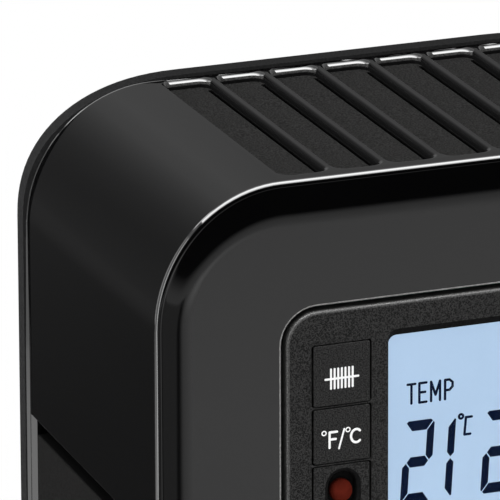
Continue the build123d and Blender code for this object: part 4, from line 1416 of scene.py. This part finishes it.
def fin_mesh(fin):
    """Fin pressed from two sheets, with its two necks, about its own middle."""
    skin = Skin()
    edge_steps = [step * MM for step in (0.0, 0.1, 0.3, 0.6, 1.0, 2.2, 4.0)]
    edge = 6.0 * MM
    hub_zone = 92.0 * MM
    lower = edge_steps + spaced(edge, hub_zone, 1.25 * fin.grid)
    middle = spaced(hub_zone, 2 * fin_half_height - hub_zone, 10 * fin.grid)[1:-1]
    upper = [2 * fin_half_height - rise for rise in reversed(lower)]
    rows = [rise - fin_half_height for rise in lower + middle + upper]
    inner = spaced(-1.0, 1.0, fin.grid / (fin_half_width - edge))
    front = []
    back = []
    for row, z in enumerate(rows):
        from_end = min(fin_half_height - abs(z), fin.corner)
        reach = fin_half_width - fin.corner + math.sqrt(fin.corner**2 - (fin.corner - from_end) ** 2)
        columns = [step - reach for step in edge_steps]
        columns += [share * (reach - edge) for share in inner]
        columns += [reach - step for step in reversed(edge_steps)]
        on_end = row in (0, len(rows) - 1)
        front_row = []
        back_row = []
        for column, x in enumerate(columns):
            if on_end or column in (0, len(columns) - 1):
                shared = skin.bm.verts.new((x, 0.0, z))
                front_row.append(shared)
                back_row.append(shared)
            else:
                height = pressed_height(fin, x, z)
                front_row.append(skin.bm.verts.new((x, -height, z)))
                back_row.append(skin.bm.verts.new((x, height, z)))
        front.append(front_row)
        back.append(back_row)
    for grid in (front, back):
        for first, second in zip(grid, grid[1:]):
            for index in range(len(first) - 1):
                skin.bm.faces.new((first[index], first[index + 1], second[index + 1], second[index]))
    neck_edge = 0.9 * MM
    foot_flare = 0.8 * MM
    foot_sunk = 0.4 * MM
    foot = fin_half_pitch - fin.neck_length
    neck = [(fin.hub_neck + foot_flare, foot - foot_sunk), (fin.hub_neck, foot + foot_flare)]
    neck += [(fin.hub_neck - inset, fin_half_pitch - short) for inset, short in quarter_round(neck_edge, 5)]
    for side in (-1, 1):
        for hub_z in (-fin_half_height + fin.hub_rise, fin_half_height - fin.hub_rise):
            skin.lathe(neck, lambda u, v, height: (u, side * height, hub_z + v))
    skin.close()
    return skin.mesh("fin", 50)


def fin_nodes():
    """Nodes of the fins from front to back."""
    return sorted(node for node in frame["nodes"] if node.startswith("fin_"))


def make_fins(fin):
    """Seven like fins in a row."""
    data = fin_mesh(fin)
    for node in fin_nodes():
        add_piece(
            f"pressed_{node}",
            data,
            ["fin_paint"],
            "fin_paint",
            stands_for=[node],
            place=box_middle(node),
            weighted=False,
        )


def make_welds(fin):
    """Weld bead in the groove between each two necks."""
    skin = Skin()
    bead = 0.75 * MM
    bead_line = fin.hub_neck - 0.6 * MM
    profile = [(bead_line + bead * math.cos(angle), bead * math.sin(angle)) for angle in arc(9, 0, 324)]
    hub_reach = fin_half_height - fin.hub_rise
    for node in fin_nodes()[:-1]:
        joint_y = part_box(node)[1].y
        middle_z = box_middle(node).z
        for hub_z in (middle_z - hub_reach, middle_z + hub_reach):
            skin.lathe(profile, lambda u, v, height: (u, joint_y + height, hub_z + v), closed=True)
    skin.close()
    add_piece("hub_welds", skin.mesh("hub_welds"), ["fin_paint"], "fin_paint")


def make_filler_plug():
    """Plated plug with a rounded head and a hexagon socket."""
    skin = Skin()
    low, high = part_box("filler_plug")
    centre = (low + high) / 2
    thickness = 4.0 * MM
    edge = 1.4 * MM
    socket = 4.6 * MM
    socket_depth = 2.6 * MM
    socket_edge = 0.25 * MM
    socket_grow = 1.06

    def rings_at(levels, steps):
        rings = []
        for radius, depth in levels:
            outline = circle(centre.x, centre.z, radius, steps)
            rings.append(skin.ring([(x, high.y - depth, z) for x, z in outline]))
        return skin.stack(rings)

    head = rings_at([(high.x - inset, depth) for inset, depth in rim_levels(edge, thickness)], 48)
    skin.cap(head[0])
    hexagon = rings_at([(socket * socket_grow, 0.0), (socket, socket_edge), (socket, socket_depth)], 6)
    skin.cap(hexagon[-1])
    skin.flat([head[-1], hexagon[0]])
    skin.close()
    add_piece("plug_head", skin.mesh("plug_head"), ["zinc"], "zinc", stands_for=["filler_plug"])


def make_screws():
    """Four screws in the wells of the rear shell, with domed heads and cross recesses."""
    skin = Skin()
    head = 3.7 * MM
    flat = 2.7 * MM
    rise = 1.9 * MM
    dome_share = 0.75
    arm = 2.3 * MM
    slot = 0.45 * MM
    recess = 1.1 * MM
    top_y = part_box("housing_screws")[1].y - 0.4 * MM
    cross = [(arm, slot), (slot, slot), (slot, arm)]
    for turn in (90, 180, 270):
        rotated = Matrix.Rotation(math.radians(turn), 2)
        cross += [tuple(rotated @ Vector(point)) for point in cross[:3]]
    dome = [(head, rise)]
    for angle in arc(6):
        depth = rise * dome_share * (1 - math.sin(angle))
        dome.append((flat + (head - flat) * math.cos(angle), depth))
    for x, z in screw_places(head):
        rings = [
            skin.ring([(u, top_y - depth, v) for u, v in circle(x, z, radius)]) for radius, depth in dome
        ]
        skin.stack(rings)
        skin.cap(rings[0])
        walls = [skin.ring([(x + u, top_y - depth, z + v) for u, v in cross]) for depth in (0.0, recess)]
        skin.stack(walls)
        skin.cap(walls[-1])
        skin.flat([rings[-1], walls[0]])
    skin.close()
    add_piece("screw_heads", skin.mesh("screw_heads"), ["zinc"], "zinc", stands_for=["housing_screws"])


def foot_stations(base, low, high, inset):
    """Cross sections of a foot from end to end, inside its outside by the inset."""
    half_long = (high.x - low.x) / 2 - inset
    half_wide = (high.y - low.y) / 2 - inset
    end_radius = base.foot_end - inset
    edge = max(base.foot_edge - inset, 0.4 * MM)
    middle_y = (low.y + high.y) / 2
    spacing = 12 * MM
    slope_start = base.foot_flat / 2 - 25 * MM
    slope_end = half_long + 45 * MM
    slope_share = 0.8
    from_end = [inward for inward, _ in quarter_round(edge, 6)]
    from_end += [end_radius * (1 - math.cos(angle)) for angle in arc(14, 38, 90)]
    from_end += spaced(end_radius, half_long, spacing)[1:]
    places = [distance - half_long for distance in from_end]
    places += [half_long - distance for distance in reversed(from_end[:-1])]
    sections = []
    for x in places:
        reach = half_long - abs(x)
        half = half_wide
        if reach < end_radius:
            half = half_wide - end_radius + math.sqrt(end_radius**2 - (end_radius - reach) ** 2)
        fall = base.foot_drop * smooth_step(abs(x), slope_start, slope_end) / slope_share
        top = high.z - inset - fall
        if reach < edge:
            top -= edge - math.sqrt(edge**2 - (edge - reach) ** 2)
        outline = [(-half, low.z)]
        outline += [(-half + inward, top - down) for inward, down in quarter_round(edge, 6)]
        outline += [(-y, z) for y, z in reversed(outline)]
        sections.append([(x, middle_y + y, z) for y, z in outline])
    return sections


def make_foot(base, node):
    """Foot across the heater, rounded on top and hollow underneath, with a socket at each end."""
    low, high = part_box(node)
    skin = Skin()
    outside = [skin.ring(points) for points in foot_stations(base, low, high, 0.0)]
    inside = [skin.ring(points) for points in foot_stations(base, low, high, base.foot_wall)]
    count = len(outside[0])
    for stations in (outside, inside):
        for first, second in zip(stations, stations[1:]):
            skin.strip(first, second, gaps=[count - 1])
        skin.cap(stations[0], stations[-1])
    for point in (0, count - 1):
        outer = [ring[point] for ring in outside]
        inner = [ring[point] for ring in inside]
        for index in range(len(outer) - 1):
            skin.bm.faces.new((outer[index], outer[index + 1], inner[index + 1], inner[index]))
    for end in (0, -1):
        skin.bm.faces.new((outside[end][0], outside[end][-1], inside[end][-1], inside[end][0]))
    stem = 4.05 * MM
    deep = 12.0 * MM
    top = high.z - base.foot_drop - base.foot_wall / 2
    middle_y = (low.y + high.y) / 2
    profile = [(stem, low.z + deep), (stem, low.z), (base.socket, low.z), (base.socket, top)]
    for side in (-1, 1):
        swivel_x = side * box_middle("caster_axle_front_right").x
        skin.lathe(profile, lambda u, v, height: (swivel_x + u, middle_y + v, height))
    skin.close()
    add_piece(
        node.replace("foot", "moulded_foot"),
        skin.mesh(node),
        ["foot_plastic"],
        "foot_plastic",
        stands_for=[node],
    )


def make_caster(base, corner):
    """Hooded twin-wheel caster: hood, web, flared collar and stem."""
    skin = Skin()
    stem_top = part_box(f"caster_{corner}")[1].z
    axle = box_middle(f"caster_axle_{corner}")
    swivel_y = axle.y - base.trail
    foot_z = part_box("foot_front")[0].z
    hood_corner = 0.9 * MM
    web_corner = 0.4 * MM
    web_start = 3.0 * MM
    boss_radius = 7.0 * MM
    stem = 4.0 * MM
    collar_edge = 0.4 * MM
    flare = 2.4 * MM
    flare_rise = 1.6
    flare_foot = axle.z + base.hood_radius - 8 * MM
    flare_z = flare_foot + 3 * MM

    middle = base.hood_radius - base.hood_wall / 2
    hood = rectangle((middle, 0.0), (base.hood_wall / 2, base.hood_half))
    web = rectangle(((middle + web_start) / 2, 0.0), ((middle - web_start) / 2, base.web / 2))
    for profile in (rounded_polygon(hood, hood_corner, steps=4), rounded_polygon(web, web_corner, steps=3)):
        rings = []
        for angle in arc(40, 0, 180):
            along, up = math.cos(angle), math.sin(angle)
            rings.append(skin.ring([(axle.x + x, axle.y + r * along, axle.z + r * up) for r, x in profile]))
        skin.stack(rings)
        skin.cap(rings[0], rings[-1])
    boss = [(boss_radius, -base.web / 2), (boss_radius, base.web / 2)]
    skin.lathe(boss, lambda u, v, x: (axle.x + x, axle.y + u, axle.z + v), steps=40)
    collar = [(base.socket + flare, flare_foot)]
    collar += [(base.socket + out, flare_z + flare_rise * up) for up, out in quarter_round(flare, 6)]
    collar += [(base.socket, foot_z - collar_edge), (base.socket - collar_edge, foot_z)]
    collar += [(stem, foot_z), (stem, stem_top)]
    skin.lathe(collar, lambda u, v, z: (axle.x + u, swivel_y + v, z), steps=48)
    skin.close()
    add_piece(
        f"hood_{corner}",
        skin.mesh(f"hood_{corner}"),
        ["caster_plastic"],
        "caster_plastic",
        body=f"swivel_{corner}",
        stands_for=[f"caster_{corner}"],
    )


def wheel_profile(base):
    """(Radius, distance from the inner face) pairs round a wheel's section, from its bore and back to it."""
    width = base.wheel_width
    tread = base.wheel_radius
    edge = base.wheel_edge
    bore = 2.55 * MM
    profile = [(bore, 0.0), (5.2 * MM, 0.0), (6.0 * MM, 1.0 * MM), (tread - 3.6 * MM, 1.0 * MM)]
    profile += [(tread - 2.8 * MM, 0.0)]
    profile += [(tread - inset, across) for across, inset in quarter_round(edge, 6)]
    profile += [(tread - inset, width - across) for inset, across in quarter_round(edge, 6)]
    dish = [(3.0, 0.0), (3.6, 0.3), (4.4, 1.3)]
    profile += [(tread - inset * MM, width - depth * MM) for inset, depth in dish]
    hub = [(7.6, 1.6), (6.9, 1.2), (6.6, 0.3), (6.1, 0.0), (5.6, 0.1), (5.5, 2.0)]
    profile += [(radius * MM, width - depth * MM) for radius, depth in hub]
    return profile + [(bore, width - hub[-1][1] * MM)]


def make_wheel(base, node):
    """Wheel with a rounded tread, a dished face with ribs, and a hub."""
    skin = Skin()
    low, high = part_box(node)
    axle = (low + high) / 2
    outward = 1 if node.endswith("_b") else -1
    inner_x = low.x if outward > 0 else high.x

    def place(u, v, across):
        return (inner_x + outward * across, axle.y + u, axle.z + v)

    skin.lathe(wheel_profile(base), place, closed=True, steps=72)
    rib_in = 7.0 * MM
    rib_out = base.wheel_radius - 4.1 * MM
    rib_half = ((rib_out - rib_in) / 2, 0.8 * MM)
    rib_corner = 0.5 * MM
    rib_front = base.wheel_width - 0.75 * MM
    rib_levels = rim_levels(0.3 * MM, 1.2 * MM, 3)
    outline = rectangle(((rib_in + rib_out) / 2, 0.0), rib_half)
    for index in range(base.wheel_ribs):
        angle = math.tau * index / base.wheel_ribs
        cosine, sine = math.cos(angle), math.sin(angle)

        def rib_place(u, v, depth):
            return place(u * cosine - v * sine, u * sine + v * cosine, rib_front - depth)

        rings = skin.recess(rib_place, outline, rib_corner, rib_levels)
        skin.cap(rings[0], rings[-1])
    skin.close()
    add_piece(
        node.replace("wheel", "tyre"),
        skin.mesh(node),
        ["wheel_plastic"],
        "wheel_plastic",
        body=node,
        stands_for=[node],
    )


def dress_nodes():
    """Finish for every CAD node that still shows, by its slot in the record."""
    slots = {row["node"]: row["material_slot"] for row in frame["record"]["subparts"]}
    for node, piece in frame["nodes"].items():
        piece.data.materials.clear()
        piece.data.materials.append(finishes[slots[node]])


# Stage


def flat_sheet(name, half):
    """Flat sheet about its own middle, facing up."""
    skin = Skin()
    skin.cap(skin.ring([(u, v, 0.0) for u, v in rectangle((0.0, 0.0), half)]))
    return new_object(name, skin.mesh(name))


def reflector(name, middle, size, facing, levels, axis="X", soft=(0.0, 0.0), power=1.0):
    """Card seen only in reflections; its levels are one number or (place on a world axis, level) pairs."""
    half = (size[0] / 2, size[1] / 2)
    card = flat_sheet(name, half)
    card.location = middle
    card.rotation_mode = "QUATERNION"
    card.rotation_quaternion = Vector((0, 0, 1)).rotation_difference(Vector(facing))
    for ray in ("camera", "diffuse", "transmission", "volume_scatter", "shadow"):
        setattr(card, f"visible_{ray}", False)
    material = bpy.data.materials.new(name)
    material.use_nodes = True
    nodes = material.node_tree.nodes
    link = material.node_tree.links.new
    nodes.clear()
    glow = nodes.new("ShaderNodeEmission")

    def ranged(value, start, end):
        node = nodes.new("ShaderNodeMapRange")
        node.inputs["From Min"].default_value = start
        node.inputs["From Max"].default_value = end
        link(value, node.inputs["Value"])
        return node.outputs["Result"]

    def along(source, direction):
        split = nodes.new("ShaderNodeSeparateXYZ")
        link(source, split.inputs["Vector"])
        return split.outputs[direction]

    if isinstance(levels, float):
        glow.inputs["Strength"].default_value = levels * power
    else:
        glow.inputs["Strength"].default_value = power
        start, end = levels[0][0], levels[-1][0]
        ramp = nodes.new("ShaderNodeValToRGB")
        stops = ramp.color_ramp.elements
        for index, (stand, level) in enumerate(levels):
            share = (stand - start) / (end - start)
            stop = stops[index] if index < 2 else stops.new(share)
            stop.position = share
            stop.color = (level, level, level, 1.0)
        position = nodes.new("ShaderNodeNewGeometry").outputs["Position"]
        link(ranged(along(position, axis), start, end), ramp.inputs["Fac"])
        link(ramp.outputs["Color"], glow.inputs["Color"])
    shader = glow.outputs["Emission"]
    for reach, fade, direction in zip(half, soft, "XY"):
        if not fade:
            continue
        place = nodes.new("ShaderNodeTexCoord").outputs["Object"]
        from_middle = nodes.new("ShaderNodeMath")
        from_middle.operation = "ABSOLUTE"
        link(along(place, direction), from_middle.inputs[0])
        mix = nodes.new("ShaderNodeMixShader")
        link(ranged(from_middle.outputs["Value"], reach - fade, reach), mix.inputs["Fac"])
        link(shader, mix.inputs[1])
        link(nodes.new("ShaderNodeBsdfTransparent").outputs["BSDF"], mix.inputs[2])
        shader = mix.outputs["Shader"]
    link(shader, nodes.new("ShaderNodeOutputMaterial").inputs["Surface"])
    card.data.materials.append(material)


def make_world(stage):
    """White to the eye and in reflections, plain light on the object."""
    world = bpy.data.worlds.new("studio")
    bpy.context.scene.world = world
    world.use_nodes = True
    nodes = world.node_tree.nodes
    link = world.node_tree.links.new
    nodes.clear()
    path = nodes.new("ShaderNodeLightPath")
    seen = path.outputs["Is Camera Ray"]
    for ray in ("Is Glossy Ray", "Is Transmission Ray"):
        either = nodes.new("ShaderNodeMath")
        either.operation = "MAXIMUM"
        link(seen, either.inputs[0])
        link(path.outputs[ray], either.inputs[1])
        seen = either.outputs["Value"]
    mix = nodes.new("ShaderNodeMixShader")
    link(seen, mix.inputs["Fac"])
    for socket, strength in ((1, stage.ambient), (2, 1.0)):
        light = nodes.new("ShaderNodeBackground")
        light.inputs["Color"].default_value = (1.0, 1.0, 1.0, 1.0)
        light.inputs["Strength"].default_value = strength
        link(light.outputs["Background"], mix.inputs[socket])
    link(mix.outputs["Shader"], nodes.new("ShaderNodeOutputWorld").inputs["Surface"])


def make_floor():
    """Plain pale floor, far wider than any view of the heater."""
    half = 40.0
    floor = flat_sheet("floor", (half, half))
    finish = Finish("floor_white", (0.9, 0.9, 0.9), 0.9)
    finish.shader.inputs["Specular IOR Level"].default_value = 0.0
    finish.shade(finish.noise(0.6, 1.0), 0.99, 1.01)
    floor.data.materials.append(finish.material)


def make_lamps(stage):
    """Soft key lamp at the upper left, with weaker fills at the right and the left."""
    aim = Vector((0, 0, 0.35))
    for name, place, size, power in (
        ("key_lamp", (-0.5, -1.1, 3.1), 1.5, stage.key),
        ("fill_lamp", (2.2, -1.6, 1.6), 1.6, stage.key * 0.3),
        ("side_lamp", (-2.3, 0.2, 1.0), 1.2, stage.key * 0.9),
    ):
        lamp = bpy.data.lights.new(name, "AREA")
        lamp.shape = "SQUARE"
        lamp.size = size
        lamp.energy = power
        holder = new_object(name, lamp)
        holder.location = place
        holder.rotation_mode = "QUATERNION"
        holder.rotation_quaternion = (aim - Vector(place)).to_track_quat("-Z", "Y")
        holder.visible_glossy = False
        holder.visible_camera = False


def make_cards():
    """Studio cards that shape what the gloss plastic mirrors."""
    up = (0, 0, 1)
    down = (0, 0, -1)
    front_left = [
        (-2.65, 0.29), (-0.36, 0.29), (-0.28, 0.08), (-0.22, 0.05), (-0.17, 0.09), (-0.12, 0.2),
        (-0.04, 0.5), (0.05, 0.72), (0.25, 0.85), (0.55, 1.05),
    ]
    reflector("front_left_floor", (-1.05, -2.0, 0.004), (3.2, 2.8), up, front_left)
    reflector("front_glow", (0.5, -2.75, 0.006), (0.9, 1.1), up, 1.5, soft=(0.4, 0.45))
    reflector("front_flag", (1.0, -3.2, 2.8), (9.0, 5.2), (0, 1, 0), 0.0, soft=(0.2, 0.2))
    behind = [
        (-3.4, 0.1), (-1.9, 0.115), (-1.45, 0.17), (-0.97, 0.27), (-0.37, 0.41), (0.26, 0.42), (0.86, 0.33),
        (1.35, 0.25), (4.6, 0.2),
    ]
    reflector("back_card", (0.6, 3.4, 1.6), (8.0, 3.2), (0, -1, 0), behind)
    back_left = [
        (0.5, 0.03), (1.25, 0.035), (1.45, 0.044), (1.65, 0.06), (1.85, 0.08), (2.1, 0.1), (2.5, 0.115),
        (3.4, 0.125),
    ]
    reflector("back_left_floor", (-1.7, 1.95, 0.004), (2.7, 2.9), up, back_left, axis="Y")
    reflector("near_floor", (-0.05, 1.9, 0.004), (0.6, 3.0), up, [(1.2, 0.0), (1.6, 0.1)], axis="Y")
    reflector("edge_strip", (-0.3, 1.0, 0.006), (0.2, 0.8), up, 1.3)
    overhead = [(-1.4, 1.0), (0.0, 1.0), (0.5, 0.35), (0.95, 0.1)]
    reflector(
        "overhead_panel",
        (-0.1, -0.225, 2.3),
        (3.2, 2.35),
        down,
        overhead,
        axis="Y",
        soft=(1.3, 0.0),
        power=22.0,
    )
    reflector("left_strip", (-1.85, -1.0, 1.1), (2.2, 0.5), (1, 0, 0), 9.0)
    reflector("left_wall", (-1.96, -0.3, 1.46), (2.88, 0.8), (1, 0, 0), 2.0)
    reflector("left_panel", (-1.75, -0.9, 0.01), (0.7, 0.56), up, 8.0)
    seam = [(-2.25, 0.5), (-1.85, 0.6), (-1.7, 1.0), (-1.35, 1.0)]
    reflector("seam_panel", (-1.8, 0.0, 0.01), (0.9, 1.2), up, seam, power=3.2)
    reflector("seam_fade", (-1.6, 0.95, 0.01), (1.2, 0.7), up, [(0.6, 0.7), (1.3, 0.2)], axis="Y")
    reflector("seam_wall", (-1.97, 0.85, 1.2), (2.2, 1.1), (1, 0, 0), 3.2)
    reflector("corner_card", (-1.2, 1.0, 2.29), (1.5, 0.9), down, 8.0, soft=(0.3, 0.2))


def make_camera(stage):
    """Camera at the photograph's angle, framed on the rim's top left corner."""
    data = bpy.data.cameras.new("camera")
    data.lens = stage.lens
    data.sensor_width = 36.0
    camera = new_object("camera", data)
    bpy.context.scene.camera = camera
    sizes = bpy.context.scene.heater_housing
    rim_y = rim_depth(sizes)
    half_width, half_height = section(sizes, rim_y)
    corner = Vector((-half_width, rim_y, housing_z + half_height))
    level = math.cos(stage.elevation)
    aside = math.sin(stage.azimuth) * level
    ahead = math.cos(stage.azimuth) * level
    back = Vector((aside, -ahead, math.sin(stage.elevation)))
    turn = (-back).to_track_quat("-Z", "Y") @ Matrix.Rotation(stage.roll, 3, "Z").to_quaternion()
    right = turn @ Vector((1, 0, 0))
    up = turn @ Vector((0, 1, 0))
    target = corner + right * stage.across - up * stage.down
    camera.location = target + back * stage.distance
    camera.rotation_mode = "QUATERNION"
    camera.rotation_quaternion = turn
    data.clip_start = 0.1
    # The photograph shows the housing alone on white, so the main view ends behind it.
    data.clip_end = stage.reach


# Operators, one for each piece or group of like pieces


class HEATER_OT_finishes(bpy.types.Operator):
    """Make the finishes and give them to the frame's own nodes"""

    bl_idname = "heater.finishes"
    bl_label = "Finishes"

    def execute(self, context):
        finishes.update(make_finishes(context.scene.heater_colours))
        dress_nodes()
        return {"FINISHED"}


class HEATER_OT_front_shell(bpy.types.Operator):
    """Make the gloss front shell with its vents, windows and side pads"""

    bl_idname = "heater.front_shell"
    bl_label = "Front shell"

    def execute(self, context):
        sizes = context.scene.heater_housing
        vents = context.scene.heater_vents
        make_front_shell(sizes, vents, context.scene.heater_panel)
        make_side_pads(sizes, vents)
        return {"FINISHED"}


class HEATER_OT_rear_shell(bpy.types.Operator):
    """Make the satin rear band"""

    bl_idname = "heater.rear_shell"
    bl_label = "Rear shell"

    def execute(self, context):
        make_rear_shell(context.scene.heater_housing)
        return {"FINISHED"}


class HEATER_OT_bezel(bpy.types.Operator):
    """Make the grained bezel and the receiver's tile and dome"""

    bl_idname = "heater.bezel"
    bl_label = "Bezel and receiver"

    def execute(self, context):
        make_bezel(context.scene.heater_panel)
        make_receiver(context.scene.heater_panel)
        return {"FINISHED"}


class HEATER_OT_keys(bpy.types.Operator):
    """Make the seven keys and their signs"""

    bl_idname = "heater.keys"
    bl_label = "Keys"

    def execute(self, context):
        make_keys(context.scene.heater_panel)
        return {"FINISHED"}


class HEATER_OT_display(bpy.types.Operator):
    """Make the lit display with its lens and segments"""

    bl_idname = "heater.display"
    bl_label = "Display"

    def execute(self, context):
        make_display(context.scene.heater_panel)
        return {"FINISHED"}


class HEATER_OT_radiator(bpy.types.Operator):
    """Make the pressed fins, the welds between their hubs and the filler plug"""

    bl_idname = "heater.radiator"
    bl_label = "Radiator"

    def execute(self, context):
        make_fins(context.scene.heater_radiator)
        make_welds(context.scene.heater_radiator)
        make_filler_plug()
        return {"FINISHED"}


class HEATER_OT_screws(bpy.types.Operator):
    """Make the four screws of the rear shell"""

    bl_idname = "heater.screws"
    bl_label = "Screws"

    def execute(self, context):
        make_screws()
        return {"FINISHED"}


class HEATER_OT_feet(bpy.types.Operator):
    """Make the two feet"""

    bl_idname = "heater.feet"
    bl_label = "Feet"

    def execute(self, context):
        for node in ("foot_front", "foot_rear"):
            make_foot(context.scene.heater_base, node)
        return {"FINISHED"}


class HEATER_OT_casters(bpy.types.Operator):
    """Make the four casters and their wheels"""

    bl_idname = "heater.casters"
    bl_label = "Casters"

    def execute(self, context):
        base = context.scene.heater_base
        for corner in ("front_left", "front_right", "rear_left", "rear_right"):
            make_caster(base, corner)
            for letter in "ab":
                make_wheel(base, f"wheel_{corner}_{letter}")
        return {"FINISHED"}


class HEATER_OT_stage(bpy.types.Operator):
    """Make the floor, the lamps, the studio cards and the camera"""

    bl_idname = "heater.stage"
    bl_label = "Stage"

    def execute(self, context):
        stage = context.scene.heater_stage
        make_world(stage)
        make_floor()
        make_lamps(stage)
        make_cards()
        make_camera(stage)
        context.scene.view_settings.view_transform = "Standard"
        return {"FINISHED"}


class HEATER_PT_sidebar(bpy.types.Panel):
    """Heater's pieces and sizes"""

    bl_idname = "HEATER_PT_sidebar"
    bl_label = "Radiator heater"
    bl_space_type = "VIEW_3D"
    bl_region_type = "UI"
    bl_category = "Heater"

    def draw(self, context):
        for operator in operators:
            self.layout.operator(operator.bl_idname)
        for name, group in groups.items():
            box = self.layout.box()
            box.label(text=group.__doc__)
            for prop in group.__annotations__:
                box.prop(getattr(context.scene, name), prop)


groups = {
    "heater_housing": HousingProps,
    "heater_vents": VentProps,
    "heater_panel": PanelProps,
    "heater_radiator": RadiatorProps,
    "heater_base": BaseProps,
    "heater_colours": ColourProps,
    "heater_stage": StageProps,
}

operators = [
    HEATER_OT_finishes,
    HEATER_OT_front_shell,
    HEATER_OT_rear_shell,
    HEATER_OT_bezel,
    HEATER_OT_keys,
    HEATER_OT_display,
    HEATER_OT_screws,
    HEATER_OT_radiator,
    HEATER_OT_feet,
    HEATER_OT_casters,
    HEATER_OT_stage,
]


def register():
    """Registers the classes and puts the properties on the scene."""
    for name, group in groups.items():
        bpy.utils.register_class(group)
        setattr(bpy.types.Scene, name, bpy.props.PointerProperty(type=group))
    for cls in [*operators, HEATER_PT_sidebar]:
        bpy.utils.register_class(cls)


def unregister():
    """Takes the properties and the classes away again."""
    for cls in [HEATER_PT_sidebar, *reversed(operators)]:
        bpy.utils.unregister_class(cls)
    for name, group in groups.items():
        delattr(bpy.types.Scene, name)
        bpy.utils.unregister_class(group)


def main():
    """Builds the heater's looks in order."""
    register()
    bpy.ops.heater.finishes()
    bpy.ops.heater.front_shell()
    bpy.ops.heater.rear_shell()
    bpy.ops.heater.bezel()
    bpy.ops.heater.keys()
    bpy.ops.heater.display()
    bpy.ops.heater.screws()
    bpy.ops.heater.radiator()
    bpy.ops.heater.feet()
    bpy.ops.heater.casters()
    bpy.ops.heater.stage()


if __name__ == "__main__":
    main()
